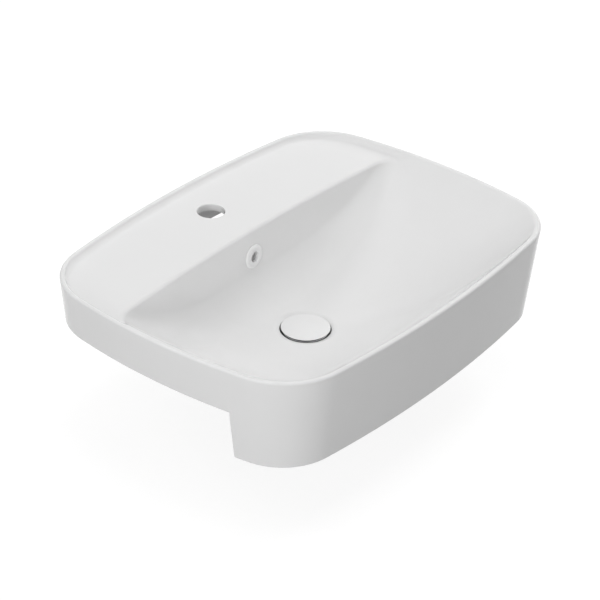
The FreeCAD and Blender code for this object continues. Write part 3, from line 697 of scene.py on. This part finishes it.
china = skin.mesh("china_body", shift=(0, CENTRE_Y, 0))
china_middle = np.array([0, CENTRE_Y, 0])


def of_vertices(made, what):
    """A vector for each of a mesh's vertices, such as its place or its normal."""
    flat = np.empty(3 * len(made.vertices), np.float32)
    made.vertices.foreach_get(what, flat)
    return flat.reshape(-1, 3).astype(float)


def true_gap(p):
    """Distance of points above the glaze."""
    return glaze_gap(*p.T, rim_reach(np.arctan2(p[:, 1] - DRAIN_Y, p[:, 0]), RIM_W))


# where a point lies on the glaze, its normal is the gradient of the distance above it, from points ASIDE away
# on both sides
ON_GLAZE = 0.004 * mm
ASIDE = 0.02 * mm
points, normals = of_vertices(china.data, "co") - china_middle, of_vertices(china.data, "normal")
glazed = (np.abs(true_gap(points)) < ON_GLAZE) & (points[:, 2] > RIM_Z - DISH_DEPTH)
on_it = points[glazed]
slope = np.stack([true_gap(on_it + e) - true_gap(on_it - e) for e in ASIDE * np.eye(3)], axis=-1)
normals[glazed] = slope / np.linalg.norm(slope, axis=1)[:, None]
china.data.normals_split_custom_set_from_vertices(normals.tolist())
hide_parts("basin_body")
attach(china, "basin")


def grain_group():
    """Node group for every finish: a soft noise of the size Patch mixes two colours and two roughnesses, and
    a finer noise of the size Grain becomes a bump of Depth. Sizes are in metres, in object coordinates."""
    made = bpy.data.node_groups.new("surface_grain", "ShaderNodeTree")
    wires, kinds = made.links, made.interface
    for name, kind, value in (("Colour", "NodeSocketColor", (0.8, 0.8, 0.8, 1)),
                              ("Second Colour", "NodeSocketColor", (0.78, 0.78, 0.78, 1)),
                              ("Patch", "NodeSocketFloat", 0.04), ("Grain", "NodeSocketFloat", 0.002),
                              ("Depth", "NodeSocketFloat", 0.00001), ("Smooth", "NodeSocketFloat", 0.1),
                              ("Rough", "NodeSocketFloat", 0.2)):
        kinds.new_socket(name, in_out="INPUT", socket_type=kind).default_value = value
    for name, kind in (("Colour", "NodeSocketColor"), ("Roughness", "NodeSocketFloat"),
                       ("Normal", "NodeSocketVector")):
        kinds.new_socket(name, in_out="OUTPUT", socket_type=kind)
    given, out = made.nodes.new("NodeGroupInput"), made.nodes.new("NodeGroupOutput")
    place = made.nodes.new("ShaderNodeTexCoord")

    def noise(size, detail):
        """Noise on Object coordinates whose spots are as large as the named input says."""
        over = made.nodes.new("ShaderNodeMath")
        over.operation = "DIVIDE"
        over.inputs[0].default_value = 1.0
        wires.new(given.outputs[size], over.inputs[1])
        tex = made.nodes.new("ShaderNodeTexNoise")
        tex.inputs["Detail"].default_value = detail
        wires.new(place.outputs["Object"], tex.inputs["Vector"])
        wires.new(over.outputs[0], tex.inputs["Scale"])
        return tex.outputs["Fac"]

    soft, fine = noise("Patch", 2.0), noise("Grain", 3.0)
    blend = made.nodes.new("ShaderNodeMix")
    blend.data_type = "RGBA"
    wires.new(soft, blend.inputs["Factor"])
    wires.new(given.outputs["Colour"], blend.inputs["A"])
    wires.new(given.outputs["Second Colour"], blend.inputs["B"])
    spread = made.nodes.new("ShaderNodeMapRange")
    spread.inputs["From Min"].default_value = 0.35
    spread.inputs["From Max"].default_value = 0.65
    wires.new(soft, spread.inputs["Value"])
    wires.new(given.outputs["Smooth"], spread.inputs["To Min"])
    wires.new(given.outputs["Rough"], spread.inputs["To Max"])
    bump = made.nodes.new("ShaderNodeBump")
    wires.new(fine, bump.inputs["Height"])
    wires.new(given.outputs["Depth"], bump.inputs["Distance"])
    wires.new(blend.outputs["Result"], out.inputs["Colour"])
    wires.new(spread.outputs["Result"], out.inputs["Roughness"])
    wires.new(bump.outputs["Normal"], out.inputs["Normal"])
    return made


GRAIN = grain_group()


def finish_of(name, colour, second, patch, grain, depth, smooth, rough, **shader):
    """Material with a Principled shader of the given sockets, whose colour, roughness and normal come from
    the surface grain."""
    made = bpy.data.materials.new(name)
    made.use_nodes = True
    nodes, wires = made.node_tree.nodes, made.node_tree.links
    base = nodes["Principled BSDF"]
    for socket, value in shader.items():
        base.inputs[socket.replace("_", " ")].default_value = value
    group = nodes.new("ShaderNodeGroup")
    group.node_tree = GRAIN
    group.inputs["Colour"].default_value = (*colour, 1)
    group.inputs["Second Colour"].default_value = (*second, 1)
    for socket, value in (("Patch", patch), ("Grain", grain), ("Depth", depth),
                          ("Smooth", smooth), ("Rough", rough)):
        group.inputs[socket].default_value = value
    wires.new(group.outputs["Colour"], base.inputs["Base Color"])
    wires.new(group.outputs["Roughness"], base.inputs["Roughness"])
    wires.new(group.outputs["Normal"], base.inputs["Normal"])
    return made


# the glaze is a glassy layer some half a millimetre thick, with a faint ripple from its flow in the kiln
glaze = finish_of("china_glaze", (0.81, 0.81, 0.81), (0.79, 0.79, 0.79), 60 * mm, 18 * mm, 0.02 * mm,
                  0.05, 0.09, IOR=1.5, Specular_IOR_Level=0.4)
china.data.materials.append(glaze)

# ---------------------------------------------------------------- overflow trim
# A small ring moulded in glossy white plastic dresses the overflow's hole. Its domed flange lies on the
# glaze, and its barrel snaps into the china behind it.
RING_R = 16.0 * mm
RING_T = 3.0 * mm
RING_BORE_R = 6.8 * mm
RING_SEAT = 0.25 * mm
BARREL_R = OVERFLOW_R - 0.3 * mm
BARREL_BACK = -BOWL_WALL - 0.6 * mm
BARREL_LEDGE = 0.9 * mm
BARREL_WALL = 1.6 * mm
RING_BACK = -2.0 * mm
RING_TURN = math.pi / 2 - math.atan(BACK_TAN)


def eased(points, ease, closed=True, steps=5):
    """Profile (r, z) whose corners become parabolas: each leaves one side at the distance ease before the
    corner and joins the next side as far behind it. An open profile keeps its two ends."""
    p = np.array(points, float)
    before, after = np.roll(p, 1, 0) - p, np.roll(p, -1, 0) - p
    long_b, long_a = np.hypot(*before.T)[:, None], np.hypot(*after.T)[:, None]
    cut = np.minimum(ease, 0.45 * np.minimum(long_b, long_a))
    if not closed:
        cut[[0, -1]] = 0.0
    a, b = p + before / long_b * cut, p + after / long_a * cut
    t = np.linspace(0, 1, steps)[None, :, None]
    return ((1 - t) ** 2 * a[:, None] + 2 * t * (1 - t) * p[:, None] + t * t * b[:, None]).reshape(-1, 2)


flange = [(RING_BORE_R, RING_T), (RING_R - 3.2 * mm, RING_T), (RING_R - 1.0 * mm, RING_T - 0.9 * mm),
          (RING_R, RING_SEAT + 0.8 * mm), (RING_R, RING_SEAT), (BARREL_R, RING_SEAT), (BARREL_R, BARREL_BACK),
          (BARREL_R + BARREL_LEDGE, BARREL_BACK), (BARREL_R + BARREL_LEDGE, BARREL_BACK - 0.8 * mm),
          (BARREL_R - 0.6 * mm, BARREL_BACK - 3.0 * mm), (BARREL_R - BARREL_WALL, BARREL_BACK - 3.0 * mm),
          (BARREL_R - BARREL_WALL, RING_BACK), (RING_BORE_R, RING_BACK)]
upright = turned_grid(round_loop(eased(flange, 0.9 * mm)))
c, s = math.cos(RING_TURN), math.sin(RING_TURN)
x, y, z = np.moveaxis(upright, -1, 0)
on_back_wall = np.stack([x, overflow_y + y * c - z * s, overflow_z + y * s + z * c], axis=-1)
skin = Skin()
skin.grid(on_back_wall, closed=True)
ring = skin.mesh("overflow_trim", shift=(0, CENTRE_Y, 0))
ring.data.materials.append(finish_of("white_moulding", (0.81, 0.81, 0.81), (0.80, 0.80, 0.80), 9 * mm,
                                     0.6 * mm, 0.004 * mm, 0.14, 0.2, IOR=1.49))
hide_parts("overflow_ring")
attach(ring, "basin")

# ---------------------------------------------------------------- waste flange and its gasket
# The flange is turned from brass and polished under a chrome plate. It lies in the drain's recess on a
# rubber gasket, and its threaded neck is screwed into the waste below. The gasket's black lip, which stands
# up round the flange's edge, is painted shade: it darkens the shadowed gap under the cap's edge.
FLANGE_LOW = DRAIN_SEAT_Z + 1.8 * mm
FLANGE_TOP = FLANGE_LOW + 2.6 * mm
DRAIN_PLACE = (0.0, CENTRE_Y + DRAIN_Y, 0.0)


def turning_group():
    """Node group for turned metal: fine lines round the drain's axis. A noise along the distance from the
    axis plus the height, in steps of Spacing, becomes a bump of Depth. Both are in metres."""
    made = bpy.data.node_groups.new("turning_lines", "ShaderNodeTree")
    wires, kinds = made.links, made.interface
    for name, value in (("Spacing", 0.0003), ("Depth", 0.00001)):
        kinds.new_socket(name, in_out="INPUT", socket_type="NodeSocketFloat").default_value = value
    kinds.new_socket("Normal", in_out="OUTPUT", socket_type="NodeSocketVector")
    given, out = made.nodes.new("NodeGroupInput"), made.nodes.new("NodeGroupOutput")
    place, centred = made.nodes.new("ShaderNodeTexCoord"), made.nodes.new("ShaderNodeMapping")
    centred.inputs["Location"].default_value = (0, -DRAIN_PLACE[1], 0)
    apart, flat = made.nodes.new("ShaderNodeSeparateXYZ"), made.nodes.new("ShaderNodeCombineXYZ")
    length = made.nodes.new("ShaderNodeVectorMath")
    length.operation = "LENGTH"
    both, over = made.nodes.new("ShaderNodeMath"), made.nodes.new("ShaderNodeMath")
    both.operation, over.operation = "ADD", "DIVIDE"
    lines, bump = made.nodes.new("ShaderNodeTexNoise"), made.nodes.new("ShaderNodeBump")
    lines.noise_dimensions = "1D"
    lines.inputs["Scale"].default_value = 1.0
    wires.new(place.outputs["Object"], centred.inputs["Vector"])
    wires.new(centred.outputs["Vector"], apart.inputs["Vector"])
    wires.new(apart.outputs["X"], flat.inputs["X"])
    wires.new(apart.outputs["Y"], flat.inputs["Y"])
    wires.new(flat.outputs["Vector"], length.inputs[0])
    wires.new(length.outputs["Value"], both.inputs[0])
    wires.new(apart.outputs["Z"], both.inputs[1])
    wires.new(both.outputs[0], over.inputs[0])
    wires.new(given.outputs["Spacing"], over.inputs[1])
    wires.new(over.outputs[0], lines.inputs["W"])
    wires.new(lines.outputs["Fac"], bump.inputs["Height"])
    wires.new(given.outputs["Depth"], bump.inputs["Distance"])
    wires.new(bump.outputs["Normal"], out.inputs["Normal"])
    return made


TURNING = turning_group()


def turned_finish(material, spacing, depth):
    """Gives a material the turning lines in place of its grain's bump."""
    nodes, wires = material.node_tree.nodes, material.node_tree.links
    group = nodes.new("ShaderNodeGroup")
    group.node_tree = TURNING
    group.inputs["Spacing"].default_value = spacing
    group.inputs["Depth"].default_value = depth
    wires.new(group.outputs["Normal"], nodes["Principled BSDF"].inputs["Normal"])
    return material


def dress(node, material):
    """Puts a material on a CAD node's own slots."""
    obj = frame["nodes"][node]
    if not obj.material_slots:
        obj.data.materials.append(material)
    for held in obj.material_slots:
        held.material = material


chrome = finish_of("chrome_plate", (0.70, 0.71, 0.72), (0.66, 0.67, 0.68), 12 * mm, 1 * mm, 0.002 * mm,
                   0.05, 0.11, Metallic=1.0)
dress("waste_flange", turned_finish(chrome, 0.25 * mm, 0.002 * mm))
black_rubber = finish_of("black_rubber", (0.035, 0.035, 0.037), (0.05, 0.05, 0.05), 7 * mm, 0.35 * mm,
                         0.05 * mm, 0.55, 0.75, Specular_IOR_Level=0.35)
# the gasket under the flange is real rubber, but its lip round the flange's edge is painted shade: black
# rubber put where the gap under the cap lies in shadow
SHADE_LIP_IN_R = 29.55 * mm
GASKET_IN_R = DRAIN_BORE_R + 0.4 * mm
SHADE_LIP_OUT_R = 31.6 * mm
SHADE_LIP_TOP = FLANGE_TOP + 0.25 * mm
gasket_and_shade_lip = [(GASKET_IN_R, DRAIN_SEAT_Z), (SHADE_LIP_OUT_R - 0.5 * mm, DRAIN_SEAT_Z),
                 (SHADE_LIP_OUT_R, SHADE_LIP_TOP - 0.4 * mm), (SHADE_LIP_OUT_R - 0.6 * mm, SHADE_LIP_TOP), (SHADE_LIP_IN_R, SHADE_LIP_TOP),
                 (SHADE_LIP_IN_R, FLANGE_LOW), (GASKET_IN_R, FLANGE_LOW)]
skin = Skin()
skin.grid(turned_grid(round_loop(eased(gasket_and_shade_lip, 0.3 * mm)), 128), closed=True, flip=True)
# one mesh holds the real gasket and its lip of painted shade
gasket = skin.mesh("gasket_and_painted_shade_lip", shift=DRAIN_PLACE)
gasket.data.materials.append(black_rubber)
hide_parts("flange_gasket")
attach(gasket, "basin")

# ---------------------------------------------------------------- waste body
# A brass tube, turned and threaded outside, hangs below the china. Four windows let the overflow's water in,
# and a spider of three arms in it carries the plug's cartridge.
TAIL_R = 20.95 * mm
TAIL_IN_R = 18.8 * mm
TAIL_LOW_R = 17.5 * mm
TAIL_TOP = FLANGE_LOW - 0.9 * mm
TAIL_LOW = TAIL_TOP - 86.0 * mm
WINDOW_HALF = 11.0 * mm
WINDOW_TOP = FLANGE_LOW - 9.3 * mm
WINDOW_LOW = WINDOW_TOP - 12.0 * mm
CAP_LOW = FLANGE_TOP + 0.9 * mm
SPIDER_TOP = CAP_LOW - 45.1 * mm
SPIDER_LOW = SPIDER_TOP - 5.0 * mm
THREAD_PITCH = 2.309 * mm
THREAD_DEEP = 1.2 * mm
THREAD_TOP = WINDOW_LOW - 3.0 * mm
THREAD_END = TAIL_LOW + 1.2 * mm
TUBE_EASE = 0.3 * mm
WINDOWS = 4
WINDOW_COLUMNS = 12
POST_COLUMNS = 4
PANEL_COLUMNS = WINDOW_COLUMNS + POST_COLUMNS


def window_angles(radius):
    """Column angles of a tube: each quarter turn holds a window of even columns, and a post."""
    edge = math.asin(WINDOW_HALF / radius)
    panel = np.concatenate([np.linspace(-edge, edge, WINDOW_COLUMNS + 1)[:-1],
                            np.linspace(edge, math.pi / 2 - edge, POST_COLUMNS + 1)[:-1]])
    return (panel[None, :] + np.arange(WINDOWS)[:, None] * math.pi / 2).reshape(-1)


out_a, in_a = window_angles(TAIL_R), window_angles(TAIL_IN_R)


def tube_row(r, z, a):
    """One ring of the tube at height z, where r may differ from column to column."""
    return np.stack(np.broadcast_arrays(r * np.cos(a), r * np.sin(a), z), axis=-1)


# the tube's skin, row by row: down the outside with its thread, round the low end and up the inside
thread_z = np.arange(THREAD_TOP, THREAD_END, -THREAD_PITCH / 8)
fade = np.clip(np.minimum(THREAD_TOP - thread_z, thread_z - THREAD_END) / THREAD_PITCH, 0, 1)
turns = thread_z[:, None] / THREAD_PITCH + out_a[None, :] / (2 * math.pi)
thread_r = TAIL_R - THREAD_DEEP * fade[:, None] * (0.5 - 0.5 * np.cos(2 * math.pi * turns))
rows = [tube_row(TAIL_R - TUBE_EASE, TAIL_TOP, out_a), tube_row(TAIL_R, TAIL_TOP - TUBE_EASE, out_a)]
out_high = len(rows)
rows += [tube_row(TAIL_R, WINDOW_TOP, out_a), tube_row(TAIL_R, WINDOW_LOW, out_a)]
rows += [tube_row(r, z, out_a) for r, z in zip(thread_r, thread_z)]
rows += [tube_row(r, z, out_a) for r, z in (
    (TAIL_R - 0.2 * mm, TAIL_LOW + 0.9 * mm), (TAIL_R - 1.0 * mm, TAIL_LOW))]
rows += [tube_row(r, z, in_a) for r, z in (
    (TAIL_LOW_R + TUBE_EASE, TAIL_LOW), (TAIL_LOW_R, TAIL_LOW + TUBE_EASE),
    (TAIL_LOW_R, SPIDER_LOW - 3.0 * mm), (TAIL_IN_R, SPIDER_LOW - 1.0 * mm))]
in_low = len(rows)
rows += [tube_row(r, z, in_a) for r, z in (
    (TAIL_IN_R, WINDOW_LOW), (TAIL_IN_R, WINDOW_TOP),
    (TAIL_IN_R, TAIL_TOP - TUBE_EASE), (TAIL_IN_R + TUBE_EASE, TAIL_TOP))]
rows.append(rows[0])
tube = np.array(rows)
keep = np.ones((len(tube) - 1, len(out_a)), bool)
in_window = np.arange(len(out_a)) % PANEL_COLUMNS < WINDOW_COLUMNS
keep[out_high, in_window] = False
keep[in_low, in_window] = False
skin = Skin()
skin.grid(tube, closed=True, keep=keep)
# each window's edge joins the outside to the inside
for k in range(WINDOWS):
    across = PANEL_COLUMNS * k + np.arange(WINDOW_COLUMNS + 1)
    outside = np.concatenate([tube[out_high, across], tube[out_high + 1, across[::-1]]])
    inside = np.concatenate([tube[in_low + 1, across], tube[in_low, across[::-1]]])
    skin.grid(np.array([outside, inside]), closed=True)
# the spider: a hub for the cartridge's stub, and arms with rounded rectangles for sections
STUB_HOLE_R = 5.1 * mm
HUB_R = 9.5 * mm
ARMS = 3
ARM_HALF = 2.25 * mm
ARM_SQUARE = 0.4
hub = [(STUB_HOLE_R, SPIDER_TOP), (HUB_R, SPIDER_TOP), (HUB_R, SPIDER_LOW), (STUB_HOLE_R, SPIDER_LOW)]
skin.grid(turned_grid(round_loop(eased(hub, 0.5 * mm)), 64), closed=True)
t = np.linspace(0, 2 * math.pi, 24, endpoint=False)
arm_mid = (SPIDER_TOP + SPIDER_LOW) / 2
arm_w = ARM_HALF * np.sign(np.cos(t)) * np.abs(np.cos(t)) ** ARM_SQUARE
arm_h = (SPIDER_TOP - SPIDER_LOW) / 2 * np.sign(np.sin(t)) * np.abs(np.sin(t)) ** ARM_SQUARE
for a in math.pi / 2 + np.arange(ARMS) * 2 * math.pi / ARMS:
    arm = []
    for along, size in ((HUB_R - 1 * mm, 0.0), (HUB_R - 1 * mm, 1.0),
                        (TAIL_IN_R + 0.5 * mm, 1.0), (TAIL_IN_R + 0.5 * mm, 0.0)):
        x = along * math.cos(a) - arm_w * size * math.sin(a)
        y = along * math.sin(a) + arm_w * size * math.cos(a)
        arm.append(np.stack([x, y, arm_mid + arm_h * size], axis=-1))
    skin.grid(np.array(arm), closed=True, flip=True)
tail = skin.mesh("threaded_waste", shift=DRAIN_PLACE)
brass = finish_of("turned_brass", (0.62, 0.44, 0.19), (0.56, 0.40, 0.18), 8 * mm, 0.8 * mm, 0.01 * mm,
                  0.22, 0.36, Metallic=1.0)
tail.data.materials.append(turned_finish(brass, 0.2 * mm, 0.006 * mm))
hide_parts("waste_tail")
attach(tail, "basin")

# ---------------------------------------------------------------- seal, washer and back nut under the china
# A tapered rubber washer seals the boss from below. A slippery washer of white polythene lies between it and
# the brass nut, so that the nut's turning doesn't wring the rubber.
dress("lower_gasket", black_rubber)
dress("friction_washer", finish_of("polythene", (0.74, 0.74, 0.72), (0.70, 0.70, 0.68), 10 * mm, 0.5 * mm,
                                   0.01 * mm, 0.4, 0.52, IOR=1.51))
dress("backnut", brass)

# ---------------------------------------------------------------- cartridge of the plug
# A cup and a lid moulded in acetal guide the brass plunger. The cup's stub stands in the spider and is held
# by a nut, and in the cup a toothed ring on a steel spring locks the plug up or down by turns.
acetal = finish_of("acetal", (0.72, 0.72, 0.69), (0.68, 0.68, 0.65), 6 * mm, 0.4 * mm, 0.008 * mm,
                   0.3, 0.42, IOR=1.48)
for node in ("cartridge_housing", "cartridge_lid", "cam_ring"):
    dress(node, acetal)
for node in ("cartridge_locknut", "plunger"):
    dress(node, brass)

# ---------------------------------------------------------------- plug spring
# Five turns of drawn stainless wire are wound into a coil. It stands loose in the cup, between its floor and
# the toothed ring, and pushes the ring up.
SPRING_LOW = CAP_LOW - 42.0 * mm
SPRING_TOP = SPRING_LOW + 12.0 * mm
WIRE_R = 0.6 * mm
COIL_R = 6.6 * mm
COIL_TURNS = 5


def coil(turns, steps, sides):
    """Tube along a helix: circles of radius WIRE_R stand across a path of radius COIL_R that climbs evenly.
    The path's first and last circles shrink to a point."""
    s = np.linspace(0, turns, steps)[:, None]
    side_a = np.linspace(0, 2 * math.pi, sides, endpoint=False)[None, :]
    a = 2 * math.pi * s
    r = COIL_R + WIRE_R * np.cos(side_a)
    climb = SPRING_TOP - SPRING_LOW - 2 * WIRE_R
    z = SPRING_LOW + WIRE_R + climb * s / turns + WIRE_R * np.sin(side_a)
    body = np.stack([r * np.cos(a), r * np.sin(a), z], axis=-1)
    return np.concatenate([pole(body[0]), body, pole(body[-1])])


skin = Skin()
skin.grid(coil(COIL_TURNS, 48 * COIL_TURNS + 1, 12), closed=True)
spring = skin.mesh("plug_coil", shift=DRAIN_PLACE)
spring.data.materials.append(finish_of("spring_wire", (0.55, 0.55, 0.54), (0.48, 0.48, 0.48), 2 * mm,
                                       0.15 * mm, 0.01 * mm, 0.25, 0.4, Metallic=1.0))
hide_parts("plug_spring")
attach(spring, "basin")

# ---------------------------------------------------------------- plug cap and its seal
# The plug's cap is a disc of the same white china as the basin, with a gently crowned top and a rounded
# edge. A black rubber ring in a groove under it closes on the flange.
CAP_R = 30.8 * mm
CAP_T = 3.2 * mm
CAP_CROWN = 0.6 * mm
CAP_TOP = CAP_LOW + CAP_T
CAP_EDGE_Z = CAP_TOP - CAP_CROWN
CAP_FOOT_R = 27.8 * mm
GROOVE_OUT_R = 27.4 * mm
GROOVE_IN_R = 23.6 * mm
GROOVE_TOP = CAP_LOW + 1 * mm
CAP_BOSS_R = 9.0 * mm
CAP_BOSS_Z = CAP_LOW - 4.8 * mm
STUD_R = 3.1 * mm
STUD_TOP = CAP_BOSS_Z + 5.5 * mm
crown_r = np.linspace(0, CAP_R - 1.4 * mm, 12)
crown = np.stack([crown_r, CAP_TOP - CAP_CROWN * (crown_r / crown_r[-1]) ** 2], axis=-1)
under = [crown[-1], (CAP_R - 0.35 * mm, CAP_EDGE_Z - 0.2 * mm), (CAP_R, CAP_EDGE_Z - 0.6 * mm),
         (CAP_R - 0.6 * mm, CAP_EDGE_Z - 1.1 * mm), (CAP_FOOT_R, CAP_LOW + 0.2 * mm), (GROOVE_OUT_R, CAP_LOW),
         (GROOVE_OUT_R, GROOVE_TOP), (GROOVE_IN_R, GROOVE_TOP), (GROOVE_IN_R, CAP_LOW), (CAP_BOSS_R, CAP_LOW),
         (CAP_BOSS_R, CAP_BOSS_Z), (STUD_R, CAP_BOSS_Z), (STUD_R, STUD_TOP), (0, STUD_TOP)]
skin = Skin()
skin.grid(turned_grid(np.concatenate([crown[:-1], eased(under, 0.5 * mm, closed=False)]), 128), closed=True)
cap = skin.mesh("plug_disc", shift=DRAIN_PLACE)
cap.data.materials.append(finish_of("cap_glaze", (0.82, 0.82, 0.82), (0.81, 0.81, 0.81), 15 * mm, 6 * mm,
                                    0.01 * mm, 0.05, 0.1, IOR=1.5, Specular_IOR_Level=0.4))
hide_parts("waste_cap")
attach(cap, "plug")
dress("cap_seal", black_rubber)

# ---------------------------------------------------------------- floor and room
# The basin stands over a plain pale floor in a white room. The camera sees both as white, and the floor
# keeps the soft shadow of the basin.


def shown_ray(nodes, wires):
    """1 for rays by which the camera sees a thing, straight, mirrored or through glass, and 0 for other
    rays: the sum of three of Light Path's values, clamped."""
    ray = nodes.new("ShaderNodeLightPath")
    total = ray.outputs["Is Camera Ray"]
    for kind in ("Is Glossy Ray", "Is Transmission Ray"):
        more = nodes.new("ShaderNodeMath")
        more.operation, more.use_clamp = "ADD", True
        wires.new(total, more.inputs[0])
        wires.new(ray.outputs[kind], more.inputs[1])
        total = more.outputs[0]
    return total


FLOOR_Z = cad_low.z
FLOOR_HALF = 6.0
FLOOR_GREY = (0.4, 0.4, 0.4)
SHADOW_GREY = (0.22, 0.22, 0.22)
FLOOR_GLOW = 0.86
ROOM_LIGHT = 0.24
floor_mesh = bpy.data.meshes.new("floor")
corners = [(x * FLOOR_HALF, y * FLOOR_HALF, FLOOR_Z) for x, y in ((-1, -1), (1, -1), (1, 1), (-1, 1))]
floor_mesh.from_pydata(corners, [], [(0, 1, 2, 3)])
floor = bpy.data.objects.new("floor", floor_mesh)
bpy.context.scene.collection.objects.link(floor)
paper = bpy.data.materials.new("pale_floor")
paper.use_nodes = True
nodes, wires = paper.node_tree.nodes, paper.node_tree.links
nodes.clear()
out = nodes.new("ShaderNodeOutputMaterial")
shade = nodes.new("ShaderNodeBsdfDiffuse")
shade.inputs["Color"].default_value = (*FLOOR_GREY, 1)
faint = nodes.new("ShaderNodeBsdfDiffuse")
faint.inputs["Color"].default_value = (*SHADOW_GREY, 1)
glow = nodes.new("ShaderNodeEmission")
glow.inputs["Strength"].default_value = FLOOR_GLOW
both = nodes.new("ShaderNodeAddShader")
pick = nodes.new("ShaderNodeMixShader")
any_ray = shown_ray(nodes, wires)
wires.new(faint.outputs[0], both.inputs[0])
wires.new(glow.outputs[0], both.inputs[1])
wires.new(any_ray, pick.inputs[0])
wires.new(shade.outputs[0], pick.inputs[1])
wires.new(both.outputs[0], pick.inputs[2])
wires.new(pick.outputs[0], out.inputs["Surface"])
floor_mesh.materials.append(paper)

world = bpy.data.worlds.new("white_room")
bpy.context.scene.world = world
world.use_nodes = True
nodes, wires = world.node_tree.nodes, world.node_tree.links
nodes.clear()
out = nodes.new("ShaderNodeOutputWorld")
dim, white = nodes.new("ShaderNodeBackground"), nodes.new("ShaderNodeBackground")
dim.inputs["Strength"].default_value = ROOM_LIGHT
for held in (dim, white):
    held.inputs["Color"].default_value = (1, 1, 1, 1)
pick = nodes.new("ShaderNodeMixShader")
wires.new(shown_ray(nodes, wires), pick.inputs[0])
wires.new(dim.outputs[0], pick.inputs[1])
wires.new(white.outputs[0], pick.inputs[2])
wires.new(pick.outputs[0], out.inputs["Surface"])


def softbox(name, place, size, power):
    """Square area lamp that faces the middle of the basin, at the counter's level."""
    lamp = bpy.data.lights.new(name, "AREA")
    lamp.energy, lamp.size = power, size
    made = bpy.data.objects.new(name, lamp)
    bpy.context.scene.collection.objects.link(made)
    made.location = place
    made.rotation_euler = (Vector((0, CENTRE_Y, 0)) - Vector(place)).to_track_quat("-Z", "Y").to_euler()
    made.visible_glossy = False


for name, place, size, power in (
        ("over_the_bowl", (0.0, -0.2, 2.4), 1.6, 10.2), ("ceiling", (0.0, -0.2, 4.0), 1.0, 13.5),
        ("left_of_camera", (-1.9, -2.2, 1.7), 1.2, 9.0), ("right_side", (2.4, -0.2, 1.5), 1.2, 34.0),
        ("front_left", (-2.4, -1.4, 0.9), 1.0, 21.9), ("low_left", (-2.5, -0.6, 0.35), 1.0, 9.0),
        ("back_left", (-1.2, 1.6, 2.2), 1.0, 10.5), ("back_right", (0.9, 1.2, 2.4), 1.0, 5.7)):
    softbox(name, place, size, power)

# ---------------------------------------------------------------- camera
# The camera looks down from the front left with a long lens, turned a little about its own axis. Its place,
# lens and turn were fitted to the edges and the tap hole in the photo.
LENS = 144.909
AIM = Vector((-0.10173, -0.27229, 0.059))
CAMERA_FAR = 2.80635
TURN, RISE, ROLL = math.radians(-52.39), math.radians(31.63), math.radians(1.91)
cam = bpy.data.cameras.new("camera")
cam.lens = LENS
cam_obj = bpy.data.objects.new("camera", cam)
bpy.context.scene.collection.objects.link(cam_obj)
bpy.context.scene.camera = cam_obj
behind_v = Vector((math.sin(TURN) * math.cos(RISE), -math.cos(TURN) * math.cos(RISE), math.sin(RISE)))
level_v = Vector((math.cos(TURN), math.sin(TURN), 0))
over_v = behind_v.cross(level_v)
right_v = level_v * math.cos(ROLL) + over_v * math.sin(ROLL)
up_v = over_v * math.cos(ROLL) - level_v * math.sin(ROLL)
place = Matrix((right_v, up_v, behind_v)).transposed().to_4x4()
place.translation = AIM + behind_v * CAMERA_FAR
cam_obj.matrix_world = place
bpy.context.scene.view_settings.view_transform = "Standard"
